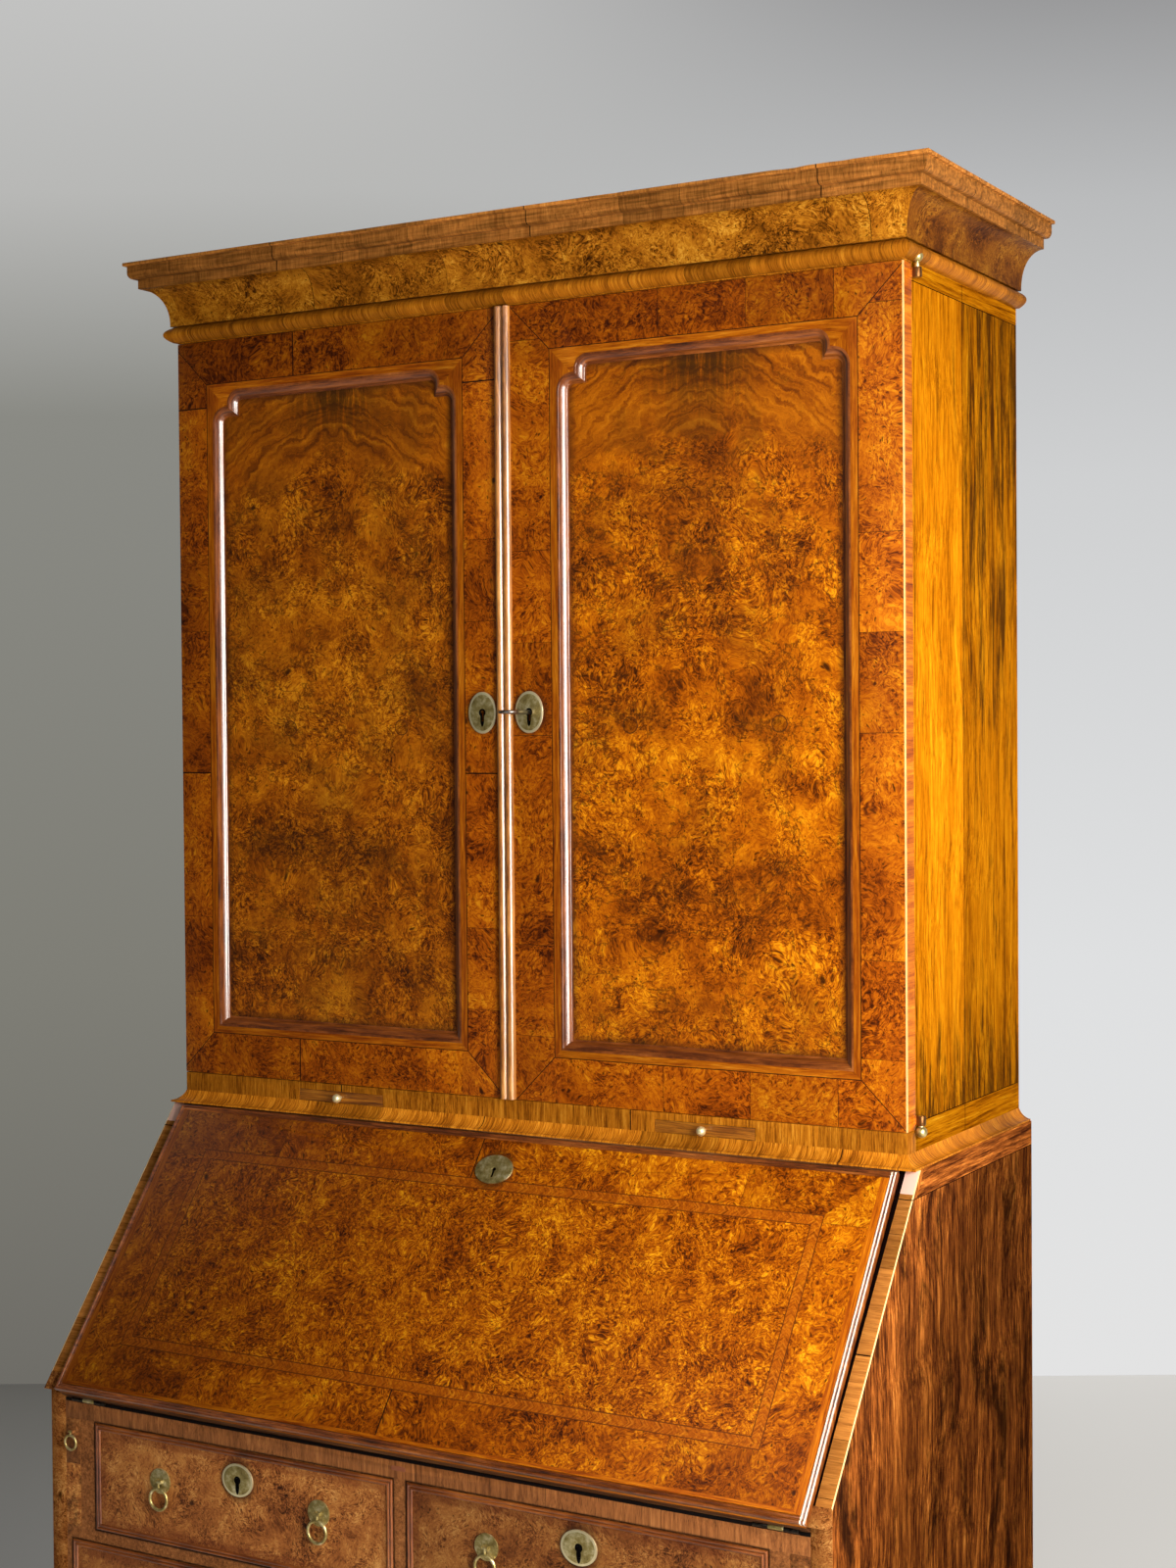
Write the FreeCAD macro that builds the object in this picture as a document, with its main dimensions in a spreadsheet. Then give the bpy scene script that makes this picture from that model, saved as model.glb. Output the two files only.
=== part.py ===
"""Veneered walnut bureau bookcase: a slant front desk on drawers under a bookcase with two doors."""

import FreeCAD, Part
import math
import os
import re

import Sketcher

# Driving sizes, in millimetres, and angles, in degrees
SIZES = {
    # Bureau carcase
    "bureau_width": 1000,
    "bureau_depth": 575,
    "side_thick": 22.5,
    "back_thick": 10,
    "foot_height": 118,
    "plinth_height": 32,
    "plinth_reach": 20,
    "lower_row_height": 238,
    "upper_row_height": 208,
    "top_row_height": 126,
    "rail_height": 15,
    "rail_depth": 60,
    "peg_width": 19,
    "peg_height": 5,
    "peg_proud": 0.3,
    "peg_depth": 12,
    "peg_shift": 4.5,
    "dust_thick": 9,
    "bottom_thick": 18,
    "bed_thick": 23,
    "bureau_rise": 314.4,
    "desk_top_thick": 20,
    "slope": 51.6,
    "rim_rise": 16,
    "nose_lift": 10.3,
    "board_gap": 1,
    # Bookcase carcase
    "bookcase_inset": 15.3,
    "bookcase_setback": 232,
    "bookcase_side_thick": 19,
    "candle_rail_height": 37.6,
    "cornice_height": 98.9,
    "base_board_thick": 12,
    "base_board_lift": 4,
    "top_board_thick": 18,
    "top_board_drop": 34,
    "shelf_thick": 16,
    "shelf_setback": 18,
    "shelf_groove": 4,
    "shelf_slack": 0.3,
    "first_bay": 262,
    "second_bay": 240,
    "third_bay": 206,
    # Mouldings
    "neck_foot": 2.1,
    "neck_height": 18.9,
    "neck_reach": 13,
    "neck_edge": 4,
    "scoop_radius": 8.5,
    "scoop_height": 14,
    "cavetto_foot": 6.5,
    "cavetto_lift": 22,
    "cavetto_reach": 27.5,
    "cavetto_rise": 45.5,
    "corona_rise": 11.5,
    "crown_step": 4,
    "crown_reach": 5.5,
    "crown_rise": 7.5,
    "crown_lip": 4.2,
    "crown_edge": 4,
    "waist_height": 14.3,
    "waist_reach": 14,
    "waist_fillet": 2.2,
    "waist_step": 1.6,
    "plinth_fillet": 9,
    "plinth_step": 3,
    "plinth_cap": 3,
    "reed_rise": 2.7,
    "strip_reed_rise": 2.6,
    # Bracket feet
    "foot_thick": 20,
    "foot_setback": 4,
    "foot_length": 168,
    "foot_toe": 74,
    "foot_toe_height": 30,
    "foot_spur": 46,
    "foot_arch": 34,
    "foot_block": 42,
    # Doors
    "door_height": 908.7,
    "door_thick": 22,
    "door_gap": 0.8,
    "meeting_offset": 17,
    "meeting_bead_width": 20,
    "meeting_bead_base": 3,
    "meeting_reed_rise": 4,
    "left_stile_width": 53.6,
    "panel_frame_low": 60.2,
    "panel_frame_height": 786.6,
    "panel_depth": 8.5,
    "panel_thick": 7,
    "panel_rebate": 8,
    "panel_slack": 0.5,
    "panel_bead": 5,
    "panel_moulding_width": 12,
    "panel_moulding_fillet": 2.4,
    "panel_moulding_knee": 6.5,
    "panel_moulding_quirk": 1.6,
    "corner_lower_radius": 20,
    "corner_upper_radius": 17,
    "corner_step": 3,
    # Door fittings
    "hinge_offset": 6.6,
    "hinge_ball_radius": 6.2,
    "hinge_ball_drop": 2,
    "hinge_ball_rise": 6.8,
    "hinge_pin_radius": 2.4,
    "hinge_arm": 3,
    "eye_radius": 4.8,
    "eye_lift": 5,
    "eye_height": 10,
    "running_gap": 0.05,
    "hinge_plate_length": 42,
    "hinge_plate_thick": 2,
    "lock_height": 445,
    "lock_offset": 42.2,
    "left_lock_offset": 20.3,
    "escutcheon_half_width": 18.5,
    "escutcheon_half_height": 24,
    "brass_thick": 1.6,
    "keyhole_width": 3.4,
    "keyhole_drop": 10,
    "lock_case_width": 52,
    "lock_case_height": 64,
    "lock_case_depth": 11,
    "lock_wall": 1.5,
    "lock_setback": 8.5,
    "lock_bolt_height": 10,
    "lock_bolt_lift": 10,
    "lock_bolt_thick": 5,
    "lock_bolt_length": 31,
    "lock_throw": 10,
    "sliding_gap": 0.2,
    "key_radius": 2.5,
    "key_reach": 38,
    "key_bow_radius": 9.5,
    "key_bow_wire": 2,
    "key_bit_length": 9,
    "key_bit_thick": 2.6,
    "key_bit_depth": 5,
    "flush_bolt_offset": 13,
    "flush_bolt_width": 8,
    "flush_bolt_thick": 4,
    "flush_bolt_length": 80,
    "flush_bolt_throw": 12,
    "flush_knob_radius": 2.5,
    "flush_knob_reach": 6,
    # Candle slides
    "slide_centre": 246,
    "slide_width": 123,
    "slide_thick": 13,
    "slide_drop": 9.6,
    "slide_stop": 63,
    "slide_slack": 0.4,
    "bearer_width": 22,
    "knob_radius": 5.4,
    "knob_neck_radius": 2.4,
    "knob_neck": 3,
    # Fall
    "fall_thick": 22.8,
    "fall_gap": 0.8,
    "fall_side_gap": 0.5,
    "fall_lip_gap": 0.6,
    "fall_lip": 3,
    "fall_hinge_gap": 0.6,
    "fall_bead_width": 8,
    "fall_bead_rise": 1.4,
    "ajar": 0.3,
    "leaf_centre": 441,
    "leaf_width": 50,
    "leaf_length": 26,
    "leaf_thick": 2,
    "knuckle_radius": 2.6,
    "knuckle_slack": 0.5,
    "knuckle_gap": 0.3,
    "fall_pin_radius": 1.1,
    "fall_lock_distance": 335,
    "fall_lock_width": 56,
    "fall_lock_height": 34,
    "fall_escutcheon_half_width": 24.5,
    "fall_escutcheon_half_height": 18,
    # Lopers
    "loper_width": 21.3,
    "loper_height": 53,
    "loper_length": 330,
    "loper_slack": 0.2,
    "loper_drop": 0.3,
    "loper_ring_height": 737,
    # Drawers
    "partition_thick": 14.8,
    "side_bead_width": 8,
    "side_bead_depth": 22,
    "divider_width": 16.5,
    "divider_shift": 3.3,
    "guide_height": 20,
    "drawer_gap": 1,
    "drawer_top_gap": 1.5,
    "drawer_front_thick": 20,
    "drawer_lap": 5,
    "drawer_side_thick": 9,
    "drawer_back_thick": 9,
    "drawer_bottom_thick": 7,
    "drawer_bottom_lift": 6,
    "drawer_back_drop": 8,
    "drawer_stop": 35,
    "tail_width": 24,
    "tail_flare": 5,
    "tail_pitch": 36,
    # Pulls and escutcheons
    "pull_offset": 112,
    "pull_height": 698.5,
    "pull_plate_radius": 14.5,
    "pull_ring_radius": 12.2,
    "pull_wire": 1.8,
    "pull_drop": 20,
    "loper_plate_radius": 8,
    "loper_ring_radius": 8.4,
    "loper_wire": 1.4,
    "loper_pull_drop": 13,
    "pull_stand": 3,
    "pull_pin_radius": 0.9,
    "pull_barrel_length": 5,
    "pull_ear": 1.6,
    "drawer_escutcheon_half_width": 21.5,
    "drawer_escutcheon_half_height": 18.5,
    "drawer_escutcheon_height": 717,
    "long_pull_offset": 300,
    # Pigeonholes
    "nest_setback": 295,
    "nest_thick": 8,
    "nest_drawer_height": 66,
    "nest_centre_width": 290,
    "nest_slack": 0.4,
    "nest_knob_radius": 6,
}

# Places worked out from the driving sizes
PLACES = {
    "back_y": "(bureau_depth + plinth_reach) / 2",
    "back_inner_y": "back_y - back_thick",
    "face_y": "back_y - bureau_depth",
    "door_y": "face_y + bookcase_setback",
    "door_back_y": "door_y + door_thick",
    "inner_x": "bureau_width / 2 - side_thick",
    "case_x": "bureau_width / 2 - bookcase_inset",
    "case_inner_x": "case_x - bookcase_side_thick",
    # Heights from the floor up
    "lower_row_z": "foot_height + plinth_height",
    "lower_row_top_z": "lower_row_z + lower_row_height",
    "upper_row_z": "lower_row_top_z + rail_height",
    "upper_row_top_z": "upper_row_z + upper_row_height",
    "top_row_z": "upper_row_top_z + rail_height",
    "bed_z": "top_row_z + top_row_height",
    "writing_z": "bed_z + bed_thick",
    "nose_z": "writing_z + nose_lift",
    "desk_top_z": "writing_z + bureau_rise",
    "desk_under_z": "desk_top_z - desk_top_thick",
    "door_low_z": "desk_top_z + candle_rail_height",
    "door_top_z": "door_low_z + door_height",
    "cornice_top_z": "door_top_z + cornice_height",
    # The slanted edge of the bureau's sides, which lies outside the plane through the fall's hinges
    "rim_y": "face_y + bureau_rise / tan(slope) - rim_rise / sin(slope)",
    "nose_y": "face_y + nose_lift / tan(slope) - rim_rise / sin(slope)",
    # The fall's top edge, measured up the slope from the hinges, stops under the waist moulding
    "fall_angle": "slope + ajar",
    "fall_top": "(bureau_rise - fall_gap - fall_thick * cos(fall_angle)) / sin(fall_angle)",
    "lid_top": "fall_top + fall_gap",
    "fall_half": "inner_x - fall_side_gap",
    "lip_half": "fall_half + fall_lip",
    "lip_low": "rim_rise + fall_lip_gap",
    # Bookcase
    "base_board_top_z": "door_low_z + base_board_lift",
    "base_board_low_z": "base_board_top_z - base_board_thick",
    "top_board_z": "cornice_top_z - top_board_drop",
    "carcase_front_y": "door_back_y + door_gap",
    "first_shelf_z": "base_board_top_z + first_bay",
    "second_shelf_z": "first_shelf_z + shelf_thick + second_bay",
    "third_shelf_z": "second_shelf_z + shelf_thick + third_bay",
    # Doors
    "meeting_left_x": "-meeting_offset - door_gap / 2",
    "meeting_right_x": "-meeting_offset + door_gap / 2",
    "bead_right_x": "meeting_right_x + meeting_bead_width",
    "left_centre_x": "(meeting_left_x - case_x) / 2",
    "right_centre_x": "(bead_right_x + case_x) / 2",
    "panel_frame_width": "case_x + meeting_left_x - 2 * left_stile_width",
    "opening_low_z": "door_low_z + panel_frame_low",
    "opening_top_z": "opening_low_z + panel_frame_height",
    "panel_y": "door_y + panel_depth",
    "corner_size": "corner_lower_radius + corner_step + corner_upper_radius",
    "hinge_x": "case_x + hinge_offset",
    "low_ball_z": "door_low_z - hinge_ball_drop",
    "high_ball_z": "door_top_z + hinge_ball_rise",
    "lock_x": "meeting_right_x + lock_offset",
    "left_lock_x": "meeting_left_x - left_lock_offset",
    "lock_z": "door_low_z + lock_height",
    "lock_case_y": "door_back_y - lock_case_depth",
    "lock_case_x": "meeting_right_x + lock_setback",
    "flush_bolt_x": "meeting_left_x - flush_bolt_offset",
    "flush_bolt_y": "door_back_y - flush_bolt_thick - brass_thick",
    # Candle slides
    "slide_top_z": "door_low_z - slide_drop",
    "slide_low_z": "slide_top_z - slide_thick",
    "slide_length": "back_inner_y - door_y - slide_stop",
    # Lopers and drawers
    "loper_outer_x": "inner_x - loper_slack",
    "loper_inner_x": "loper_outer_x - loper_width",
    "partition_outer_x": "loper_inner_x - loper_slack",
    "partition_inner_x": "partition_outer_x - partition_thick",
    "top_drawer_outer_x": "partition_inner_x - side_bead_width",
    "divider_left_x": "-divider_shift - divider_width / 2",
    "divider_right_x": "-divider_shift + divider_width / 2",
    "loper_top_z": "bed_z - loper_drop",
    "loper_low_z": "loper_top_z - loper_height",
    "long_drawer_x": "inner_x - side_bead_width",
    "bead_back_y": "face_y + side_bead_depth",
    "drawer_length": "back_inner_y - face_y - drawer_stop",
    # Pigeonholes
    "nest_front_y": "face_y + nest_setback",
    "nest_depth": "back_inner_y - nest_front_y",
    "nest_half": "inner_x - nest_slack",
    "nest_top_z": "desk_under_z - nest_slack",
    "nest_shelf_z": "writing_z + nest_thick + nest_drawer_height",
    "nest_centre_x": "nest_centre_width / 2",
}

# Shares of a span, chosen by eye from the profiles
CAVETTO_KNEE_REACH_SHARE = 0.345
CAVETTO_KNEE_RISE_SHARE = 0.779
PLINTH_KNEE_SHARE = 0.5
NEST_HOLE_SHARES = (1 / 3, 2 / 3)
SHANK_SHARE = 0.8

QUARTER_TURN = 90
WORD = re.compile(r"[a-z_]+")

document = FreeCAD.newDocument("bureau_bookcase")
sheet = document.addObject("Spreadsheet::Sheet", "sizes")
NODES = []


def fill_sheet():
    """Writes each driving size in a row of its own, with its name beside it."""
    for row, (name, value) in enumerate(SIZES.items(), start=1):
        sheet.set(f"A{row}", name)
        sheet.set(f"B{row}", str(value))
        sheet.setAlias(f"B{row}", name)
    document.recompute()


def formula(text):
    """A formula of named sizes and places, with each name pointing at the sheet."""

    def point(match):
        word = match.group()
        if word in SIZES:
            return "sizes." + word
        if word in PLACES:
            return "(" + formula(PLACES[word]) + ")"
        return word

    return WORD.sub(point, text)


def size(text):
    """The value of a formula, in millimetres."""
    value = sheet.evalExpression(formula(text))
    return float(getattr(value, "Value", value))


def bind(thing, links):
    """Ties properties of an object to formulas."""
    for name, text in links.items():
        thing.setExpression(name, formula(text))


def place(thing, x="0", y="0", z="0"):
    """Puts an object at a place given by three formulas."""
    bind(thing, {"Placement.Base.x": x, "Placement.Base.y": y, "Placement.Base.z": z})
    return thing


def node(name, *pieces):
    """Names a sub-part, which is one piece or a group of separate ones."""
    whole = pieces[0]
    if len(pieces) > 1:
        whole = document.addObject("Part::Compound", name)
        whole.Links = list(pieces)
    whole.Label = name
    NODES.append(whole)
    return whole


def board(x, y, z):
    """A straight board between two formulas along each axis."""
    box = document.addObject("Part::Box", "board")
    spans = {"Length": x, "Width": y, "Height": z}
    bind(box, {name: f"({high}) - ({low})" for name, (low, high) in spans.items()})
    return place(box, x[0], y[0], z[0])


def centred(middle, width):
    """The two ends of a span about its middle."""
    return f"{middle} - ({width}) / 2", f"{middle} + ({width}) / 2"


def both(low, high):
    """A span on the right of the middle plane, and the same span on its left."""
    return (low, high), (f"-({high})", f"-({low})")


def rod(radius, axis, along, x="0", y="0", z="0"):
    """A round bar along one axis: along gives its two ends there."""
    bar = document.addObject("Part::Cylinder", "rod")
    start = {"x": x, "y": y, "z": z}
    start[axis] = along[0]
    turns = {"x": ((0, 1, 0), QUARTER_TURN), "y": ((1, 0, 0), -QUARTER_TURN), "z": ((0, 0, 1), 0)}
    about, angle = turns[axis]
    bar.Placement = FreeCAD.Placement(FreeCAD.Vector(), FreeCAD.Rotation(FreeCAD.Vector(*about), angle))
    bind(bar, {"Radius": radius, "Height": f"({along[1]}) - ({along[0]})"})
    return place(bar, **start)


def ball(radius, x, y, z):
    """A round ball about its centre."""
    sphere = document.addObject("Part::Sphere", "ball")
    bind(sphere, {"Radius": radius})
    return place(sphere, x, y, z)


def ring(radius, wire, facing, x, y, z):
    """A ring of round wire that faces along one axis."""
    torus = document.addObject("Part::Torus", "ring")
    angle = QUARTER_TURN if facing == "y" else 0
    turned = FreeCAD.Rotation(FreeCAD.Vector(1, 0, 0), angle)
    torus.Placement = FreeCAD.Placement(FreeCAD.Vector(), turned)
    bind(torus, {"Radius1": radius, "Radius2": wire})
    return place(torus, x, y, z)


def joined(*pieces):
    """One solid of several that touch or overlap."""
    whole = document.addObject("Part::MultiFuse", "joined")
    whole.Shapes = list(pieces)
    return whole


def cut(base, *tools):
    """A solid with others taken out of it."""
    for tool in tools:
        whole = document.addObject("Part::Cut", "cut")
        whole.Base = base
        whole.Tool = tool
        base = whole
    return base


def mirrored(piece):
    """The same piece on the other side of the middle plane."""
    copy = document.addObject("Part::Mirroring", "mirrored")
    copy.Source = piece
    copy.Normal = FreeCAD.Vector(1, 0, 0)
    return copy


def arc_between(start, end, radius):
    """A short arc from start to end. A positive radius turns left on the way, and a negative one right."""
    chord = end - start
    reach = math.sqrt(max(radius * radius - chord.Length**2 / 4, 0))
    left = FreeCAD.Vector(-chord.y, chord.x, 0).normalize()
    centre = (start + end) / 2 + left * math.copysign(reach, radius)
    first, last = (start, end) if radius > 0 else (end, start)
    angles = [math.atan2(p.y - centre.y, p.x - centre.x) for p in (first, last)]
    if angles[1] < angles[0]:
        angles[1] += 2 * math.pi
    circle = Part.Circle(centre, FreeCAD.Vector(0, 0, 1), abs(radius))
    return Part.ArcOfCircle(circle, *angles)


def outline(body, plane, points, offset="0", closed=True):
    """Draws an outline on one of a body's planes.

    Each point is two formulas. A third bends the side that starts there into an arc of that radius.
    """
    sketch = body.newObject("Sketcher::SketchObject", "outline")
    support = [f for f in body.Origin.OriginFeatures if f.Role == plane + "_Plane"][0]
    sketch.AttachmentSupport = [(support, "")]
    sketch.MapMode = "FlatFace"
    bind(sketch, {"AttachmentOffset.Base.z": offset})
    spots = [FreeCAD.Vector(size(p[0]), size(p[1]), 0) for p in points]
    count = len(points)
    ends = []
    for i in range(count if closed else count - 1):
        start, end = spots[i], spots[(i + 1) % count]
        radius = size(points[i][2]) if len(points[i]) > 2 else 0
        if radius:
            side = sketch.addGeometry(arc_between(start, end, radius), False)
            spot = sketch.addConstraint(Sketcher.Constraint("Radius", side, abs(radius)))
            bind(sketch, {f"Constraints[{spot}]": f"abs({points[i][2]})"})
        else:
            side = sketch.addGeometry(Part.LineSegment(start, end), False)
        ends.append((side, 1, 2) if radius >= 0 else (side, 2, 1))
    for i in range(count if closed else count - 2):
        here, after = ends[i], ends[(i + 1) % count]
        sketch.addConstraint(Sketcher.Constraint("Coincident", here[0], here[2], after[0], after[1]))
    corners = [(side, first) for side, first, last in ends]
    if not closed:
        corners.append((ends[-1][0], ends[-1][2]))
    for (side, spot), point, where in zip(corners, points, spots):
        for kind, text, value in (("DistanceX", point[0], where.x), ("DistanceY", point[1], where.y)):
            held = sketch.addConstraint(Sketcher.Constraint(kind, -1, 1, side, spot, value))
            bind(sketch, {f"Constraints[{held}]": text})
    return sketch


def level(plane, span):
    """How far a sketch stands off its plane, so that a pad from it fills the span."""
    return f"-({span[1]})" if plane == "XZ" else span[0]


def pad(body, plane, points, span):
    """Adds a prism of an outline to a body, between two distances along the plane's axis."""
    feature = body.newObject("PartDesign::Pad", "pad")
    feature.Profile = outline(body, plane, points, level(plane, span))
    bind(feature, {"Length": f"({span[1]}) - ({span[0]})"})
    return feature


def slab(plane, points, span):
    """A prism of an outline as a body of its own."""
    body = document.addObject("PartDesign::Body", "slab")
    pad(body, plane, points, span)
    return body


def moulding(profile, half_width, front_y, rear_y):
    """A moulding run round the front and both sides, mitred at the front corners.

    Each point of the profile is a projection from the carcase and a height.
    """
    body = document.addObject("PartDesign::Body", "moulding")
    section = [(f"{half_width} + {point[0]}", *point[1:]) for point in profile]
    left = f"-({half_width})"
    path = [(half_width, rear_y), (half_width, front_y), (left, front_y), (left, rear_y)]
    feature = body.newObject("PartDesign::AdditivePipe", "run")
    feature.Profile = outline(body, "XZ", section, f"-({rear_y})")
    spine = outline(body, "XY", path, profile[0][1], closed=False)
    feature.Spine = (spine, [f"Edge{i + 1}" for i in range(3)])
    feature.Transition = "Right corner"
    return body


def reeds(start, end, width, rise, count=2, turn=""):
    """The bent sides of reeds that lie side by side from start to end, each an arc of its width and rise."""
    radius = f"{turn}((({width}) / {count} / 2)^2 + ({rise})^2) / (2 * ({rise}))"
    sides = []
    for i in range(count):
        spot = [f"({a}) + (({b}) - ({a})) * {i} / {count}" for a, b in zip(start, end)]
        sides.append((*spot, radius))
    return sides


# Bookcase


def make_bookcase_sides():
    """The two upright sides, grooved inside for the shelves."""
    side = board(("case_inner_x", "case_x"), ("carcase_front_y", "back_y"), ("desk_top_z", "cornice_top_z"))
    for shelf in ("first_shelf_z", "second_shelf_z", "third_shelf_z"):
        groove = board(
            ("case_inner_x", "case_inner_x + shelf_groove"),
            ("carcase_front_y + shelf_setback - shelf_slack", "back_inner_y"),
            (f"{shelf} - shelf_slack", f"{shelf} + shelf_thick + shelf_slack"),
        )
        side = cut(side, groove)
    node("bookcase_sides", side, mirrored(side))


def make_bookcase_top():
    """The top board between the sides, and the rail under the cornice that the doors close below."""
    top = board(
        ("-case_inner_x", "case_inner_x"),
        ("carcase_front_y", "back_inner_y"),
        ("top_board_z - top_board_thick", "top_board_z"),
    )
    height = ("door_top_z + door_gap", "cornice_top_z")
    rail = board(("-case_x", "case_x"), ("door_y", "carcase_front_y"), height)
    mortise = flush_bolt_mortise("door_top_z", "door_top_z + door_gap + flush_bolt_throw")
    node("bookcase_top", top, cut(rail, mortise))


def flush_bolt_mortise(low, high):
    """The room that a flush bolt of the left door shoots into."""
    return board(
        centred("flush_bolt_x", "flush_bolt_width + 2 * sliding_gap"),
        ("flush_bolt_y - sliding_gap", "flush_bolt_y + flush_bolt_thick + sliding_gap"),
        (low, high),
    )


def make_bookcase_base():
    """The bottom board, and under it the rail and bearers that carry the candle slides."""
    floor = board(
        ("-case_inner_x", "case_inner_x"),
        ("carcase_front_y", "back_inner_y"),
        ("base_board_low_z", "base_board_top_z"),
    )
    thick = ("door_y", "carcase_front_y")
    rail = board(("-case_x", "case_x"), thick, ("desk_top_z", "door_low_z - door_gap"))
    mortise = flush_bolt_mortise("door_low_z - door_gap - flush_bolt_throw", "door_low_z")
    rail = cut(rail, mortise)
    bearers = []
    for sign in ("", "-"):
        middle = sign + "slide_centre"
        room = centred(middle, "slide_width + 2 * slide_slack")
        slot = board(room, thick, ("slide_low_z - slide_slack", "slide_top_z + slide_slack"))
        rail = cut(rail, slot)
        depth = ("carcase_front_y", "back_inner_y")
        bearers.append(board(room, depth, ("desk_top_z", "slide_low_z - slide_slack")))
        for start, end in ((f"{room[0]} - bearer_width", room[0]), (room[1], f"{room[1]} + bearer_width")):
            bearers.append(board((start, end), depth, ("desk_top_z", "base_board_low_z")))
    node("bookcase_base", floor, rail, *bearers)


def make_bookcase_back():
    """Upright back boards, side by side."""
    count = 5
    pitch = f"(2 * case_inner_x + board_gap) / {count}"
    boards = []
    for i in range(count):
        low = f"-case_inner_x + {i} * {pitch}"
        across = (low, f"{low} + {pitch} - board_gap")
        boards.append(board(across, ("back_inner_y", "back_y"), ("desk_top_z", "cornice_top_z")))
    node("bookcase_back_boards", *boards)


def make_shelves():
    """Three shelves whose ends run in the grooves of the sides."""
    reach = "case_inner_x + shelf_groove - shelf_slack"
    depth = ("carcase_front_y + shelf_setback", "back_inner_y - shelf_slack")
    shelves = []
    for low in ("first_shelf_z", "second_shelf_z", "third_shelf_z"):
        shelves.append(board((f"-({reach})", reach), depth, (low, f"{low} + shelf_thick")))
    node("bookcase_shelves", *shelves)


def make_cornice():
    """The cornice: a deep cavetto under a corona and a stepped crown, above a necking bead."""
    start = "door_top_z + cavetto_lift"
    knee_z = f"{start} + {CAVETTO_KNEE_RISE_SHARE} * cavetto_rise"
    knee_reach = f"cavetto_foot + {CAVETTO_KNEE_REACH_SHARE} * cavetto_reach"
    across = f"({CAVETTO_KNEE_REACH_SHARE} * cavetto_reach)"
    up = f"({CAVETTO_KNEE_RISE_SHARE} * cavetto_rise)"
    lower_bend = f"-(({across})^2 + ({up})^2) / (2 * {across})"
    across_rest = f"({1 - CAVETTO_KNEE_REACH_SHARE} * cavetto_reach)"
    up_rest = f"({1 - CAVETTO_KNEE_RISE_SHARE} * cavetto_rise)"
    upper_bend = f"-(({across_rest})^2 + ({up_rest})^2) / (2 * {up_rest})"
    brow = "cavetto_foot + cavetto_reach"
    brow_z = f"{start} + cavetto_rise"
    corona_z = f"{brow_z} + corona_rise"
    step = f"{brow} + crown_step"
    swell = f"{step} + crown_reach"
    lip_z = "cornice_top_z - crown_lip"
    node(
        "cornice_moulding",
        moulding(
            [
                ("0", start),
                ("cavetto_foot", start, lower_bend),
                (knee_reach, knee_z, upper_bend),
                (brow, brow_z),
                (brow, corona_z),
                (step, corona_z, "crown_rise"),
                (swell, f"{corona_z} + crown_rise"),
                (swell, lip_z),
                (f"{swell} + crown_edge", lip_z),
                (f"{swell} + crown_edge", "cornice_top_z"),
                ("0", "cornice_top_z"),
            ],
            "case_x",
            "door_y",
            "back_y",
        ),
    )
    foot = "door_top_z + neck_foot"
    top = f"{foot} + neck_height"
    front = reeds(("neck_edge", foot), ("neck_edge", top), "neck_height", "neck_reach - neck_edge", 1)
    bead = moulding(
        [("0", foot), *front, ("neck_edge", top), ("0", top)],
        "case_x",
        "door_y",
        "back_y",
    )
    for sign in ("", "-"):
        room = (foot, f"{foot} + scoop_height")
        bead = cut(bead, rod("scoop_radius", "z", room, x=sign + "hinge_x", y="door_back_y"))
    node("necking_bead", bead)


# Bureau carcase


def make_bureau_sides():
    """The sides: upright by the drawers, slanted by the fall, with a small nose where the two meet."""
    side = slab(
        "YZ",
        [
            ("back_y", "foot_height"),
            ("back_y", "desk_top_z"),
            ("rim_y", "desk_top_z"),
            ("nose_y", "nose_z"),
            ("face_y", "nose_z"),
            ("face_y", "foot_height"),
        ],
        ("inner_x", "bureau_width / 2"),
    )
    node("bureau_sides", side, mirrored(side))


def make_desk_top():
    """The bureau's top board, whose front edge is undercut to the line of the fall."""
    along, up = "lid_top * cos(slope)", "lid_top * sin(slope)"
    points = [
        ("back_inner_y", "desk_under_z"),
        ("face_y + (bureau_rise - desk_top_thick) / tan(slope) + fall_gap / sin(slope)", "desk_under_z"),
        (f"face_y + {along} + fall_gap * sin(slope)", f"writing_z + {up} - fall_gap * cos(slope)"),
        (f"face_y + {along} - (bureau_rise - {up}) * tan(slope)", "desk_top_z"),
        ("back_inner_y", "desk_top_z"),
    ]
    top = slab("YZ", points, ("-inner_x", "inner_x"))
    node("bureau_top_board", top)


def make_dust_boards():
    """The bottom board and the dust boards between the rows of drawers."""
    across = ("-inner_x", "inner_x")
    depth = ("face_y + rail_depth", "back_inner_y")
    boards = [board(across, depth, ("lower_row_z - bottom_thick", "lower_row_z"))]
    for top in ("upper_row_z", "top_row_z"):
        boards.append(board(across, depth, (f"{top} - dust_thick", top)))
    node("dust_boards", *boards)


def make_bureau_back():
    """Upright back boards, side by side."""
    count = 5
    pitch = f"(2 * inner_x + board_gap) / {count}"
    boards = []
    for i in range(count):
        low = f"-inner_x + {i} * {pitch}"
        across = (low, f"{low} + {pitch} - board_gap")
        boards.append(board(across, ("back_inner_y", "back_y"), ("foot_height", "desk_top_z")))
    node("bureau_back_boards", *boards)


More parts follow.
